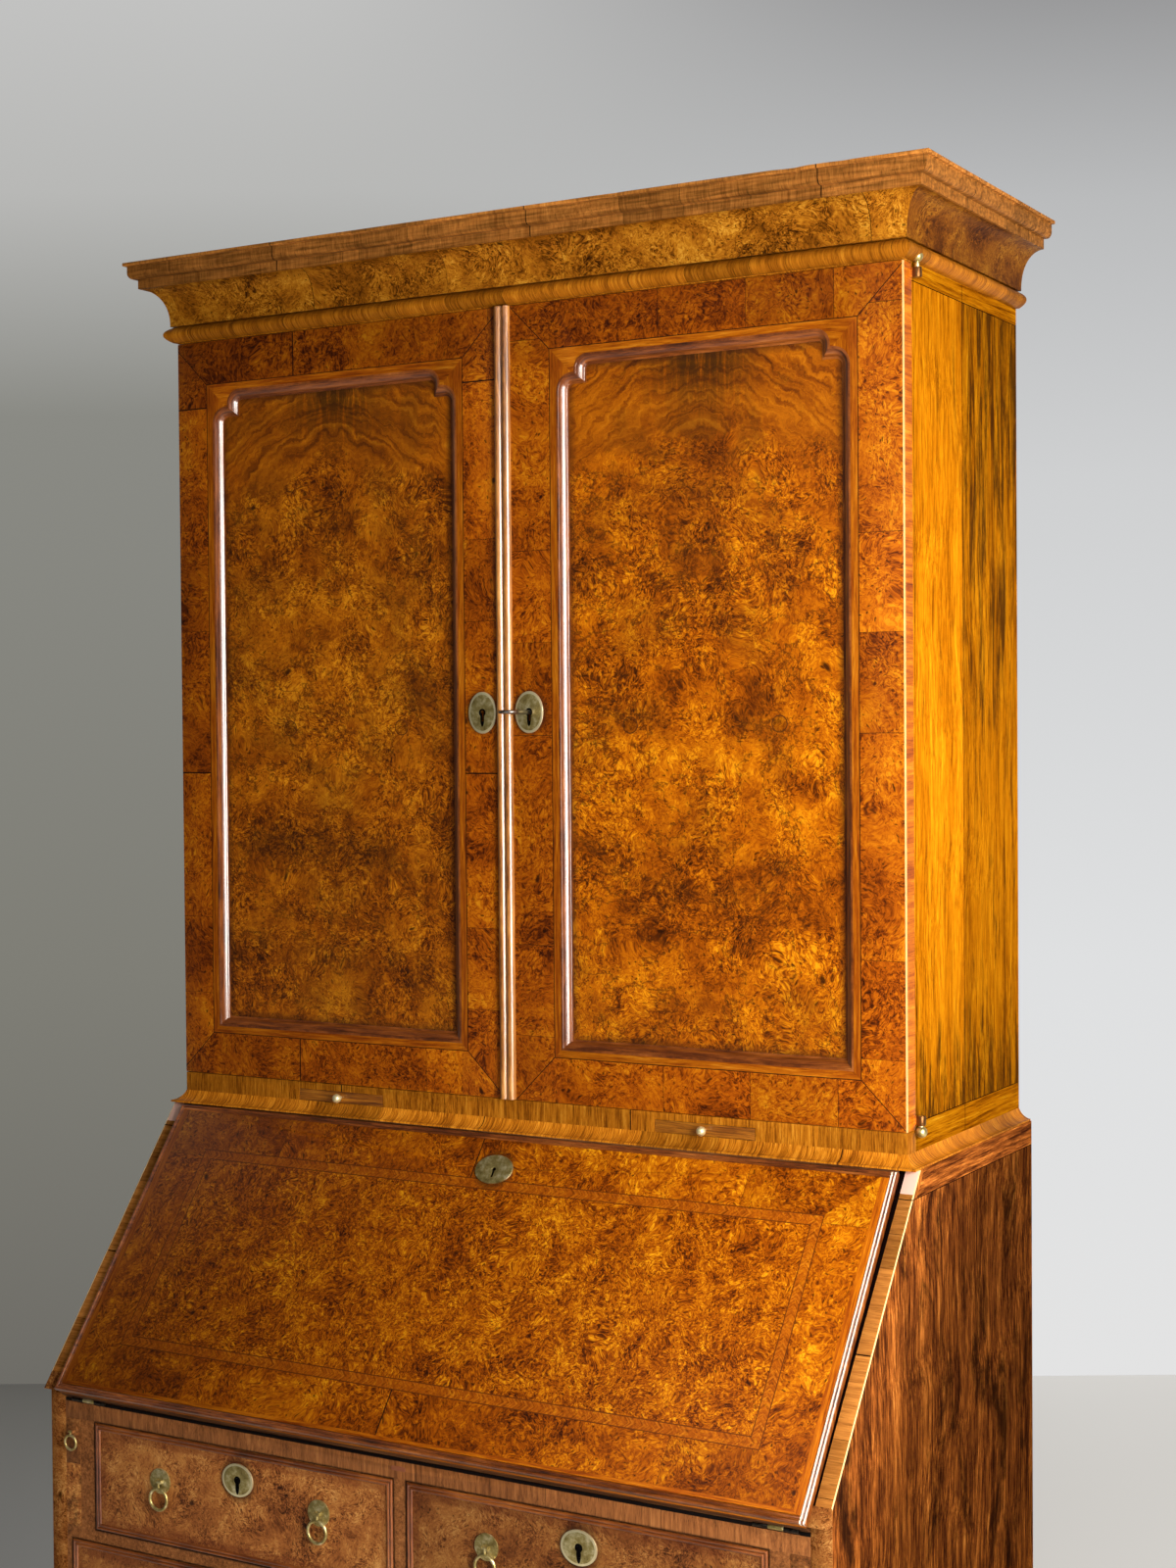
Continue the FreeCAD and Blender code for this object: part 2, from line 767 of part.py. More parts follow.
def make_writing_bed():
    """The board to write on, cut for the fall's hinges, with a small peg let into its front edge."""
    bed = board(("-inner_x", "inner_x"), ("face_y", "back_inner_y"), ("bed_z", "writing_z"))
    for sign in ("", "-"):
        across = centred(sign + "leaf_centre", "leaf_width")
        bed = cut(bed, rod("knuckle_radius + knuckle_slack", "x", across, y="face_y", z="writing_z"))
        leaf_room = board(across, ("face_y", "face_y + leaf_length"), ("writing_z - leaf_thick", "writing_z"))
        bed = cut(bed, leaf_room)
    peg_y = ("face_y - peg_proud", "face_y + peg_depth")
    peg_z = "(bed_z + writing_z) / 2"
    ends = centred("-peg_shift", "peg_width - peg_height")
    pieces = [rod("peg_height / 2", "y", peg_y, x=end, z=peg_z) for end in ends]
    pieces.append(board(ends, peg_y, centred(peg_z, "peg_height")))
    node("writing_bed", joined(bed, *pieces))


def make_drawer_rails():
    """The rails between the rows, with two reeds along their front edges."""
    across = ("-inner_x", "inner_x")
    rails = [board(across, ("face_y", "face_y + rail_depth"), ("foot_height", "lower_row_z"))]
    for low in ("lower_row_top_z", "upper_row_top_z"):
        high = f"{low} + rail_height"
        front = reeds(("face_y", high), ("face_y", low), "rail_height", "reed_rise")
        rail = [("face_y + rail_depth", low), ("face_y + rail_depth", high), *front, ("face_y", low)]
        rails.append(slab("YZ", rail, ("-inner_x", "inner_x")))
    node("drawer_rails", *rails)


def reeded_strip(low, high, count, depth, span):
    """An upright strip whose front edge is worked into reeds."""
    front = reeds((low, "face_y"), (high, "face_y"), f"({high}) - ({low})", "strip_reed_rise", count)
    return slab("XY", [*front, (high, "face_y"), (high, depth), (low, depth)], span)


def make_drawer_dividers():
    """What stands between the drawers: divider, loper partitions, loper blocks, side beads and guides."""
    row = ("top_row_z", "bed_z")
    pieces = [reeded_strip("divider_left_x", "divider_right_x", 2, "back_inner_y", row)]
    for low, high in both("partition_inner_x", "partition_outer_x"):
        pieces.append(board((low, high), ("face_y", "back_inner_y"), row))
    for low, high in both("top_drawer_outer_x", "partition_inner_x"):
        pieces.append(reeded_strip(low, high, 1, "bead_back_y", row))
    for low, high in both("partition_outer_x", "inner_x"):
        block = ("top_row_z", "loper_low_z - loper_slack")
        pieces.append(board((low, high), ("face_y", "back_inner_y"), block))
    for start, end in (("lower_row_z", "lower_row_top_z"), ("upper_row_z", "upper_row_top_z")):
        for low, high in both("long_drawer_x", "inner_x"):
            pieces.append(reeded_strip(low, high, 1, "bead_back_y", (start, end)))
            height = (start, f"{start} + guide_height")
            pieces.append(board((low, high), ("bead_back_y", "back_inner_y"), height))
    node("drawer_dividers", *pieces)


def make_waist_moulding():
    """The moulding on the bureau's top that the bookcase stands inside."""
    foot_z = "desk_top_z + waist_fillet"
    run = "(waist_reach - waist_step)"
    rise = "(waist_height - waist_fillet)"
    node(
        "waist_moulding",
        moulding(
            [
                ("0", "desk_top_z"),
                ("waist_reach", "desk_top_z"),
                ("waist_reach", foot_z),
                (f"{run}", foot_z, f"({run}^2 + {rise}^2) / 2 / {rise}"),
                ("0", "desk_top_z + waist_height"),
            ],
            "case_x",
            "door_y",
            "back_y",
        ),
    )


def make_base_moulding():
    """The base moulding round the foot of the carcase: a fillet, a swept ogee and a small cap."""
    step = "(plinth_reach - plinth_step)"
    low = "foot_height + plinth_fillet"
    high = "foot_height + plinth_height - plinth_cap"
    run = "(plinth_reach - 2 * plinth_step)"
    rise = "(plinth_height - plinth_fillet - plinth_cap)"
    bend = f"({run}^2 + {rise}^2) / (4 * {run})"
    knee_x = f"{step} - {PLINTH_KNEE_SHARE} * {run}"
    knee_z = f"{low} + {PLINTH_KNEE_SHARE} * {rise}"
    node(
        "base_moulding",
        moulding(
            [
                ("0", "foot_height"),
                ("plinth_reach", "foot_height"),
                ("plinth_reach", low),
                (step, low, bend),
                (knee_x, knee_z, f"-({bend})"),
                ("plinth_step", high),
                ("plinth_step", f"{high} + plinth_cap"),
                ("0", f"{high} + plinth_cap"),
            ],
            "bureau_width / 2",
            "face_y",
            "back_y",
        ),
    )


def foot_outline(start, away):
    """The shape of one bracket: a straight toe, a hollow, a spur and an arch up to the carcase."""
    points = [
        ("0", "0"),
        ("foot_toe", "0"),
        ("foot_toe", "foot_toe_height", "-foot_spur"),
        ("foot_toe + foot_arch", "foot_toe_height + foot_arch"),
        ("foot_toe + foot_arch", "foot_toe_height + foot_arch + board_gap", "foot_length"),
        ("foot_length", "foot_height"),
        ("0", "foot_height"),
    ]
    bent = []
    for point in points:
        across = f"{start} {away} ({point[0]})"
        bend = [point[2] if away == "+" else f"-({point[2]})"] if len(point) > 2 else []
        bent.append((across, point[1], *bend))
    return bent


def make_bracket_feet():
    """Four bracket feet: shaped boards front and side, a plain one behind, and a block inside each corner."""
    outer_x = "(bureau_width / 2 + plinth_reach - foot_setback)"
    outer_y = "(face_y - plinth_reach + foot_setback)"
    front = slab("XZ", foot_outline(outer_x, "-"), (outer_y, f"{outer_y} + foot_thick"))
    near = slab("YZ", foot_outline(outer_y, "+"), (f"{outer_x} - foot_thick", outer_x))
    lap = (outer_y, f"{outer_y} + foot_thick")
    near = cut(near, board((f"{outer_x} - foot_thick", outer_x), lap, ("0", "foot_height")))
    rear = slab("YZ", foot_outline("back_y", "-"), (f"{outer_x} - foot_thick", outer_x))
    behind = board(
        (f"{outer_x} - foot_thick - foot_toe", f"{outer_x} - foot_thick"),
        ("back_y - foot_thick", "back_y"),
        ("0", "foot_height"),
    )
    inside = f"{outer_x} - foot_thick"
    blocks = [
        board((f"{inside} - foot_block", inside), span, ("0", "foot_height"))
        for span in (
            (f"{outer_y} + foot_thick", f"{outer_y} + foot_thick + foot_block"),
            ("back_y - foot_thick - foot_block", "back_y - foot_thick"),
        )
    ]
    right = [front, near, rear, behind, *blocks]
    node("bracket_feet", *right, *[mirrored(piece) for piece in right])


def make_pigeonholes():
    """The fitted nest behind the fall: an open centre between two drawers with pigeonholes above them."""
    depth = ("nest_front_y", "back_inner_y")
    boards = [
        board(("-nest_half", "nest_half"), depth, ("writing_z", "writing_z + nest_thick")),
        board(("-nest_half", "nest_half"), depth, ("nest_top_z - nest_thick", "nest_top_z")),
    ]
    height = ("writing_z + nest_thick", "nest_top_z - nest_thick")
    for low, high in both("nest_centre_x", "nest_centre_x + nest_thick"):
        boards.append(board((low, high), depth, height))
    for low, high in both("nest_half - nest_thick", "nest_half"):
        boards.append(board((low, high), depth, height))
    bay = "(nest_half - 2 * nest_thick - nest_centre_x)"
    for low, high in both("nest_centre_x + nest_thick", "nest_half - nest_thick"):
        boards.append(board((low, high), depth, ("nest_shelf_z", "nest_shelf_z + nest_thick")))
    for share in NEST_HOLE_SHARES:
        middle = f"nest_centre_x + nest_thick + {share} * {bay}"
        for low, high in both(f"{middle} - nest_thick / 2", f"{middle} + nest_thick / 2"):
            boards.append(board((low, high), depth, ("nest_shelf_z + nest_thick", "nest_top_z - nest_thick")))
    node("pigeonhole_nest", *boards)


# Doors


def shaped_outline(left, right, inset):
    """The arched outline of a door panel, set in by an inset: its top corners step up in two rounds."""
    low = f"opening_low_z + {inset}"
    shoulder = "opening_top_z - corner_size"
    ledge = f"{shoulder} + corner_lower_radius - {inset}"
    spring = "opening_top_z - corner_upper_radius"
    crown = f"opening_top_z - {inset}"
    lower_bend = f"corner_lower_radius - {inset}"
    upper_bend = f"corner_upper_radius - {inset}"
    cusp = f"corner_lower_radius + corner_step + {inset}"
    return [
        (f"{left} + {inset}", low),
        (f"{right} - {inset}", low),
        (f"{right} - {inset}", shoulder, lower_bend),
        (f"{right} - corner_lower_radius", ledge),
        (f"{right} - ({cusp})", ledge),
        (f"{right} - ({cusp})", spring, upper_bend),
        (f"{right} - corner_size", crown),
        (f"{left} + corner_size", crown, upper_bend),
        (f"{left} + {cusp}", spring),
        (f"{left} + {cusp}", ledge),
        (f"{left} + corner_lower_radius", ledge, lower_bend),
        (f"{left} + {inset}", shoulder),
    ]


def make_top_rail(left, right):
    """The shaped top rail of a door, thick above the rebate and a lip below it."""
    body = document.addObject("PartDesign::Body", "top_rail")
    arch = shaped_outline(left, right, "0")[2:]
    pad(body, "XZ", [*arch, (left, "door_top_z"), (right, "door_top_z")], ("door_y", "panel_y"))
    low = "opening_top_z + panel_rebate"
    square = [(left, low), (right, low), (right, "door_top_z"), (left, "door_top_z")]
    pad(body, "XZ", square, ("panel_y", "door_back_y"))
    return body


def make_door(side, door_span, centre, recesses):
    """A door: a rebated frame, the panel behind it, and the shaped moulding planted in front of the panel."""
    left, right = centred(centre, "panel_frame_width")
    upright = ("door_low_z", "door_top_z")
    thick = ("door_y", "door_back_y")
    rebate_x = (f"{left} - panel_rebate", f"{right} + panel_rebate")
    rebate_z = ("opening_low_z - panel_rebate", "opening_top_z + panel_rebate")
    rebate = board(rebate_x, ("panel_y", "door_back_y"), rebate_z)
    left_stile = cut(board((door_span[0], left), thick, upright), rebate)
    right_stile = cut(board((right, door_span[1]), thick, upright), rebate)
    for place_name, tools in recesses.items():
        if place_name == "left":
            left_stile = cut(left_stile, *tools)
        else:
            right_stile = cut(right_stile, *tools)
    bottom_rail = cut(board((left, right), thick, ("door_low_z", "opening_low_z")), rebate)
    inner_y = ("panel_y + panel_thick", "panel_y + panel_thick + panel_bead")
    inside_x = (f"{rebate_x[0]} + panel_bead", f"{rebate_x[1]} - panel_bead")
    inside_z = (f"{rebate_z[0]} + panel_bead", f"{rebate_z[1]} - panel_bead")
    beads = [
        board((rebate_x[0], f"{rebate_x[0]} + panel_bead"), inner_y, rebate_z),
        board((f"{rebate_x[1]} - panel_bead", rebate_x[1]), inner_y, rebate_z),
        board(inside_x, inner_y, (rebate_z[0], inside_z[0])),
        board(inside_x, inner_y, (inside_z[1], rebate_z[1])),
    ]
    node(f"{side}_door_frame", left_stile, right_stile, make_top_rail(left, right), bottom_rail, *beads)
    panel = board(
        (f"{rebate_x[0]} + panel_slack", f"{rebate_x[1]} - panel_slack"),
        ("panel_y", "panel_y + panel_thick"),
        (f"{rebate_z[0]} + panel_slack", f"{rebate_z[1]} - panel_slack"),
    )
    node(f"{side}_door_panel", panel)
    body = document.addObject("PartDesign::Body", "panel_moulding")
    pad(body, "XZ", shaped_outline(left, right, "0"), ("door_y", "panel_y"))
    sections = [
        outline(body, "XZ", shaped_outline(left, right, inset), f"-({y})")
        for inset, y in (
            ("panel_moulding_fillet", "door_y"),
            ("panel_moulding_knee", "door_y + panel_moulding_quirk"),
            ("panel_moulding_width", "panel_y"),
        )
    ]
    hollow = body.newObject("PartDesign::SubtractiveLoft", "hollow")
    hollow.Profile = sections[0]
    hollow.Sections = sections[1:]
    hollow.Ruled = True
    node(f"{side}_panel_moulding", body)


def keyhole(x, z, along):
    """The tool for a keyhole cut through something along Y: a round above a slot."""
    slot = board(centred(x, "keyhole_width"), along, (f"{z} - keyhole_drop", z))
    return joined(rod("key_radius + running_gap", "y", along, x=x, z=z), slot)


def escutcheon(x, y, z, half_width, half_height):
    """An oval plate on the face at y, pierced with a keyhole."""
    rim = document.addObject("Part::Ellipse", "rim")
    wide = size(half_width) >= size(half_height)
    major, minor = (half_width, half_height) if wide else (half_height, half_width)
    bind(rim, {"MajorRadius": major, "MinorRadius": minor})
    upright = FreeCAD.Rotation(FreeCAD.Vector(1, 0, 0), QUARTER_TURN)
    spin = FreeCAD.Rotation(FreeCAD.Vector(0, 0, 1), 0 if wide else QUARTER_TURN)
    rim.Placement = FreeCAD.Placement(FreeCAD.Vector(), upright.multiply(spin))
    place(rim, x, y, z)
    plate = document.addObject("Part::Extrusion", "plate")
    plate.Base = rim
    plate.DirMode = "Custom"
    plate.Dir = FreeCAD.Vector(0, -1, 0)
    plate.Solid = True
    bind(plate, {"LengthFwd": "brass_thick"})
    return cut(plate, keyhole(x, z, (f"{y} - brass_thick", y)))


def door_hinge(sign, low):
    """One pin hinge: the fixed ball, arm and pin, the eye on the door, and the recess for its plate."""
    x = f"{sign}hinge_x"
    edge = f"{sign}case_x"
    if low:
        ball_z, eye_z = "low_ball_z", ("door_low_z + eye_lift", "door_low_z + eye_lift + eye_height")
        pin = (ball_z, eye_z[1])
        plate_z = ("door_low_z", "door_low_z + hinge_plate_length")
    else:
        ball_z, eye_z = "high_ball_z", ("door_top_z - eye_lift - eye_height", "door_top_z - eye_lift")
        pin = (eye_z[0], ball_z)
        plate_z = ("door_top_z - hinge_plate_length", "door_top_z")

    def from_edge(start, end):
        low_x, high_x = f"{edge} + {start}", f"{edge} + {end}"
        return (low_x, high_x) if not sign else (f"{edge} - {end}", f"{edge} - {start}")

    thick = centred("door_back_y", "hinge_arm")
    arm = board(from_edge("0", "hinge_offset"), thick, centred(ball_z, "hinge_arm"))
    fixed = joined(
        ball("hinge_ball_radius", x, "door_back_y", ball_z),
        rod("hinge_pin_radius", "z", pin, x=x, y="door_back_y"),
        arm,
    )
    recess = board(
        (f"{edge} - hinge_plate_thick", edge) if not sign else (edge, f"{edge} + hinge_plate_thick"),
        ("door_y + hinge_arm", "door_back_y"),
        plate_z,
    )
    tab = board(from_edge("0", "hinge_offset"), ("door_back_y - hinge_arm", "door_back_y"), eye_z)
    plate = joined(recess, tab, rod("eye_radius", "z", eye_z, x=x, y="door_back_y"))
    eye = cut(plate, rod("hinge_pin_radius + running_gap", "z", eye_z, x=x, y="door_back_y"))
    return fixed, eye, recess


def make_flush_bolt(name, low, high, knob_z):
    """A flat bolt in the back of the left door's meeting stile, drawn back, with a small thumb knob."""
    thick = ("flush_bolt_y", "flush_bolt_y + flush_bolt_thick")
    bar = board(centred("flush_bolt_x", "flush_bolt_width"), thick, (low, high))
    reach = (thick[1], f"{thick[1]} + flush_knob_reach")
    grip = rod("flush_knob_radius", "y", reach, x="flush_bolt_x", z=knob_z)
    node(name, joined(bar, grip))
    room_y = ("flush_bolt_y - sliding_gap", "door_back_y")
    return room_y


def make_doors():
    """Both doors with their brasses, bolts, lock and key."""
    hinges = {(sign, low): door_hinge(sign, low) for sign in ("", "-") for low in (True, False)}
    node("door_hinge_pins", *[fixed for fixed, eye, recess in hinges.values()])

    bolt_room = centred("flush_bolt_x", "flush_bolt_width + 2 * sliding_gap")
    top_bolt = ("door_top_z - flush_bolt_length", "door_top_z")
    low_bolt = ("door_low_z", "door_low_z + flush_bolt_length")
    room_y = make_flush_bolt("left_door_top_bolt", *top_bolt, f"{top_bolt[0]} + flush_bolt_width")
    make_flush_bolt("left_door_bottom_bolt", *low_bolt, f"{low_bolt[1]} - flush_bolt_width")
    top_room = board(bolt_room, room_y, (f"{top_bolt[0]} - sliding_gap", top_bolt[1]))
    low_room = board(bolt_room, room_y, (low_bolt[0], f"{low_bolt[1]} + sliding_gap"))

    bolt_z = ("lock_z + lock_bolt_lift", "lock_z + lock_bolt_lift + lock_bolt_height")
    bolt_y = centred("lock_case_y + lock_case_depth / 2", "lock_bolt_thick")
    room_z = (f"{bolt_z[0]} - sliding_gap", f"{bolt_z[1]} + sliding_gap")
    slot_y = (f"{bolt_y[0]} - sliding_gap", f"{bolt_y[1]} + sliding_gap")
    mortise = board(("meeting_left_x - lock_throw - door_gap", "meeting_left_x"), slot_y, room_z)
    bolt_slot = board(("meeting_right_x", "lock_case_x + lock_wall"), slot_y, room_z)
    case_x = ("lock_case_x", "lock_case_x + lock_case_width")
    case_z = centred("lock_z", "lock_case_height")
    case_room = board(case_x, ("lock_case_y", "door_back_y"), case_z)
    cavity = board(
        (f"{case_x[0]} + lock_wall", f"{case_x[1]} - lock_wall"),
        ("lock_case_y + lock_wall", "door_back_y - lock_wall"),
        (f"{case_z[0]} + lock_wall", f"{case_z[1]} - lock_wall"),
    )
    key_way = keyhole("lock_x", "lock_z", ("door_y", "lock_case_y + lock_wall"))
    left_key_way = keyhole("left_lock_x", "lock_z", ("door_y", "lock_case_y"))

    make_door(
        "left",
        ("-case_x", "meeting_left_x"),
        "left_centre_x",
        {
            "left": [hinges["-", True][2], hinges["-", False][2]],
            "right": [top_room, low_room, mortise, left_key_way],
        },
    )
    make_door(
        "right",
        ("meeting_right_x", "case_x"),
        "right_centre_x",
        {
            "left": [case_room, bolt_slot, key_way],
            "right": [hinges["", True][2], hinges["", False][2]],
        },
    )
    size_of_plate = ("escutcheon_half_width", "escutcheon_half_height")
    left_plate = escutcheon("left_lock_x", "door_y", "lock_z", *size_of_plate)
    right_plate = escutcheon("lock_x", "door_y", "lock_z", *size_of_plate)
    node("left_door_brasses", left_plate, hinges["-", True][1], hinges["-", False][1])
    lock_case = cut(case_room, cavity, bolt_slot, key_way)
    node("right_door_brasses", right_plate, lock_case, hinges["", True][1], hinges["", False][1])
    bolt_x = ("meeting_right_x", "meeting_right_x + lock_bolt_length")
    node("door_lock_bolt", board(bolt_x, bolt_y, bolt_z))

    bead_front = "door_y - meeting_bead_base"
    ends = ("meeting_right_x", bead_front), ("bead_right_x", bead_front)
    bead = [
        *reeds(*ends, "meeting_bead_width", "meeting_reed_rise"),
        ends[1],
        ("bead_right_x", "door_y"),
        ("meeting_right_x", "door_y"),
    ]
    node("meeting_bead", slab("XY", bead, ("door_low_z", "door_top_z")))

    bow_y = "door_y - key_reach"
    bow_centre_y = f"{bow_y} - key_bow_radius + key_bow_wire"
    bit_y = (bolt_y[1] + " - key_bit_depth", bolt_y[1])
    key = joined(
        rod("key_radius", "y", (bow_y, bit_y[1]), x="lock_x", z="lock_z"),
        board(centred("lock_x", "key_bit_thick"), bit_y, ("lock_z - key_bit_length", "lock_z")),
        ring("key_bow_radius", "key_bow_wire", "z", "lock_x", bow_centre_y, "lock_z"),
    )
    node("door_key", key)


def make_candle_slides():
    """Two boards that draw out under the doors, each with a small ball knob."""
    for name, sign in (("right", ""), ("left", "-")):
        middle = sign + "slide_centre"
        height = ("slide_low_z", "slide_top_z")
        shelf = board(centred(middle, "slide_width"), ("door_y", "door_y + slide_length"), height)
        centre_z = "(slide_low_z + slide_top_z) / 2"
        ball_y = "door_y - knob_neck - knob_radius"
        knob = joined(
            rod("knob_neck_radius", "y", (ball_y, "door_y"), x=middle, z=centre_z),
            ball("knob_radius", middle, ball_y, centre_z),
        )
        node(f"candle_slide_{name}", shelf, knob)


# Fall


def on_slope(piece):
    """Turns a piece made flat, with the fall's hinges along X, up to the line of the slope."""
    piece.Placement = FreeCAD.Placement(FreeCAD.Vector(), FreeCAD.Rotation(FreeCAD.Vector(1, 0, 0), 1))
    bind(piece, {"Placement.Rotation.Angle": "fall_angle"})
    return place(piece, "0", "face_y", "writing_z")


def make_fall():
    """The sloping fall, made flat: X across, Y up the slope from the hinges, Z outwards."""
    along = ("fall_hinge_gap", "fall_top")
    bead_inner = "lip_half - fall_bead_width"
    body = joined(
        board(("-fall_half", "fall_half"), along, ("0", "lip_low")),
        board(
            (f"-({bead_inner})", bead_inner),
            (f"{along[0]} + fall_bead_width", f"{along[1]} - fall_bead_width"),
            ("lip_low", "fall_thick"),
        ),
    )
    leaves, fixed = [], []
    for sign in ("", "-"):
        middle = sign + "leaf_centre"
        across = centred(middle, "leaf_width")
        body = cut(body, rod("knuckle_radius + knuckle_slack", "x", across))
        leaf_room = board(across, ("0", "leaf_length"), ("0", "leaf_thick"))
        body = cut(body, leaf_room)
        barrel = centred(middle, "leaf_width / 3")
        room = ("0", "knuckle_radius + knuckle_slack")
        cut_out = board(across, room, ("-knuckle_radius", "knuckle_radius"))
        leaf = cut(board(across, ("0", "leaf_length"), ("0", "leaf_thick")), cut_out)
        web = board(barrel, ("0", "leaf_length"), ("0", "leaf_thick"))
        moving = joined(leaf, web, rod("knuckle_radius", "x", barrel))
        leaves.append(cut(moving, rod("fall_pin_radius + running_gap", "x", barrel)))
        fixed.append(fixed_leaf(middle, across, barrel))
    node("fall_hinge_leaves", *fixed)
    lock_span = ("fall_lock_distance - fall_lock_height / 2", "fall_top")
    lock = board(centred("0", "fall_lock_width"), lock_span, ("0", "leaf_thick"))
    body = cut(body, lock)
    plate = laid_flat(escutcheon("0", "0", "0", "fall_escutcheon_half_width", "fall_escutcheon_half_height"))
    key_way = laid_flat(keyhole("0", "0", ("0", "fall_thick")))
    node("fall_board", on_slope(wrapped(cut(body, key_way))))
    node("fall_brasses", on_slope(wrapped(*leaves, lock, plate)))
    node("fall_edge_bead", on_slope(wrapped(*edge_beads(*along))))


def laid_flat(piece):
    """Lays a piece that faces forward down on the outer face of the flat fall, at the lock."""
    laid = wrapped(piece)
    back = FreeCAD.Rotation(FreeCAD.Vector(1, 0, 0), -QUARTER_TURN)
    laid.Placement = FreeCAD.Placement(FreeCAD.Vector(), back)
    return place(laid, "0", "fall_lock_distance", "fall_thick")


def wrapped(*pieces):
    """A group that is turned and placed as a whole."""
    whole = document.addObject("Part::Compound", "wrapped")
    whole.Links = list(pieces)
    return whole


def edge_beads(low, high):
    """Four mitred strips with two reeds each, round the edge of the fall's outer face."""
    crown = "fall_thick - fall_bead_rise"
    room = ("lip_low - fall_bead_width", "fall_thick + fall_bead_width")
    edge_x = ("lip_half", "-lip_half")
    inner_x = [f"{sign}(lip_half - fall_bead_width)" for sign in ("", "-")]
    edge_s = (low, high)
    inner_s = (f"{low} + fall_bead_width", f"{high} - fall_bead_width")
    strips = []
    for outer, inner, turn in zip(edge_x, inner_x, ("-", "")):
        front = reeds((inner, crown), (outer, crown), "fall_bead_width", "fall_bead_rise", turn=turn)
        strip = slab("XZ", [(inner, "lip_low"), *front, (outer, crown), (outer, "lip_low")], (low, high))
        corners = [[(inner, s), (outer, s), (inner, beyond)] for s, beyond in zip(edge_s, inner_s)]
        strips.append(cut(strip, *[slab("XY", corner, room) for corner in corners]))
    for outer, inner, turn in zip(edge_s, inner_s, ("-", "")):
        front = reeds((outer, crown), (inner, crown), "fall_bead_width", "fall_bead_rise", turn=turn)
        profile = [(outer, "lip_low"), *front, (inner, crown), (inner, "lip_low")]
        strip = slab("YZ", profile, ("-lip_half", "lip_half"))
        corners = [[(x, outer), (x, inner), (beyond, inner)] for x, beyond in zip(edge_x, inner_x)]
        strips.append(cut(strip, *[slab("XY", corner, room) for corner in corners]))
    return strips


def fixed_leaf(middle, across, barrel):
    """The hinge leaf let into the bed, with its two knuckles and the pin."""
    thick = ("writing_z - leaf_thick", "writing_z")
    room = board(barrel, ("face_y", "face_y + knuckle_radius + knuckle_slack"), thick)
    leaf = cut(board(across, ("face_y", "face_y + leaf_length"), thick), room)
    ends = [(across[0], f"{barrel[0]} - knuckle_gap"), (f"{barrel[1]} + knuckle_gap", across[1])]
    knuckles = [rod("knuckle_radius", "x", span, y="face_y", z="writing_z") for span in ends]
    pin = rod("fall_pin_radius", "x", across, y="face_y", z="writing_z")
    return joined(leaf, *knuckles, pin)


# Lopers, drawers and pulls


def pull_parts(x, y, z, plate_radius, ring_radius, wire, drop):
    """A ring pull: the fixed plate with its ears and pin, and the ring that hangs from the pin."""
    pivot_y = f"{y} - brass_thick - pull_stand"
    plate = rod(plate_radius, "y", (f"{y} - brass_thick", y), x=x, z=z)
    ears = []
    half = "(pull_barrel_length / 2 + sliding_gap)"
    ends = (f"{x} - {half} - pull_ear", f"{x} + {half} + pull_ear")
    for span in ((ends[0], f"{x} - {half}"), (f"{x} + {half}", ends[1])):
        ears.append(board(span, (f"{pivot_y} - {wire}", f"{y} - brass_thick"), centred(z, f"2 * {wire}")))
    pin = rod("pull_pin_radius", "x", ends, y=pivot_y, z=z)
    fixed = joined(plate, *ears, pin)
    barrel = rod(wire, "x", centred(x, "pull_barrel_length"), y=pivot_y, z=z)
    shank = rod(f"{wire} * {SHANK_SHARE}", "z", (f"{z} - {drop} + {ring_radius}", z), x=x, y=pivot_y)
    loop = ring(ring_radius, wire, "y", x, pivot_y, f"{z} - {drop}")
    hole = rod("pull_pin_radius + running_gap", "x", centred(x, "pull_barrel_length"), y=pivot_y, z=z)
    return fixed, cut(joined(barrel, shank, loop), hole)


def make_lopers():
    """The two slides that carry the open fall, each with a small ring to draw it out."""
    for name, sign in (("right", ""), ("left", "-")):
        span = ("loper_inner_x", "loper_outer_x") if not sign else ("-loper_outer_x", "-loper_inner_x")
        bar = board(span, ("face_y", "face_y + loper_length"), ("loper_low_z", "loper_top_z"))
        middle = f"{sign}((loper_inner_x + loper_outer_x) / 2)"
        sizes = ("loper_plate_radius", "loper_ring_radius", "loper_wire", "loper_pull_drop")
        fixed, loop = pull_parts(middle, "face_y", "loper_ring_height", *sizes)
        node(f"loper_{name}", bar, fixed)
        node(f"loper_ring_{name}", loop)


def dovetail(x, z, tip_y, root_y):
    """One tail, wider at its tip than at its root, on the front end of a drawer side."""
    tail = document.addObject("Part::Wedge", "tail")
    wide, slim = "tail_width / 2 + tail_flare / 2", "tail_width / 2 - tail_flare / 2"
    bind(
        tail,
        {
            "Xmin": x[0],
            "Xmax": x[1],
            "X2min": x[0],
            "X2max": x[1],
            "Ymin": tip_y,
            "Ymax": root_y,
            "Zmin": f"{z} - ({wide})",
            "Zmax": f"{z} + ({wide})",
            "Z2min": f"{z} - ({slim})",
            "Z2max": f"{z} + ({slim})",
        },
    )
    return tail


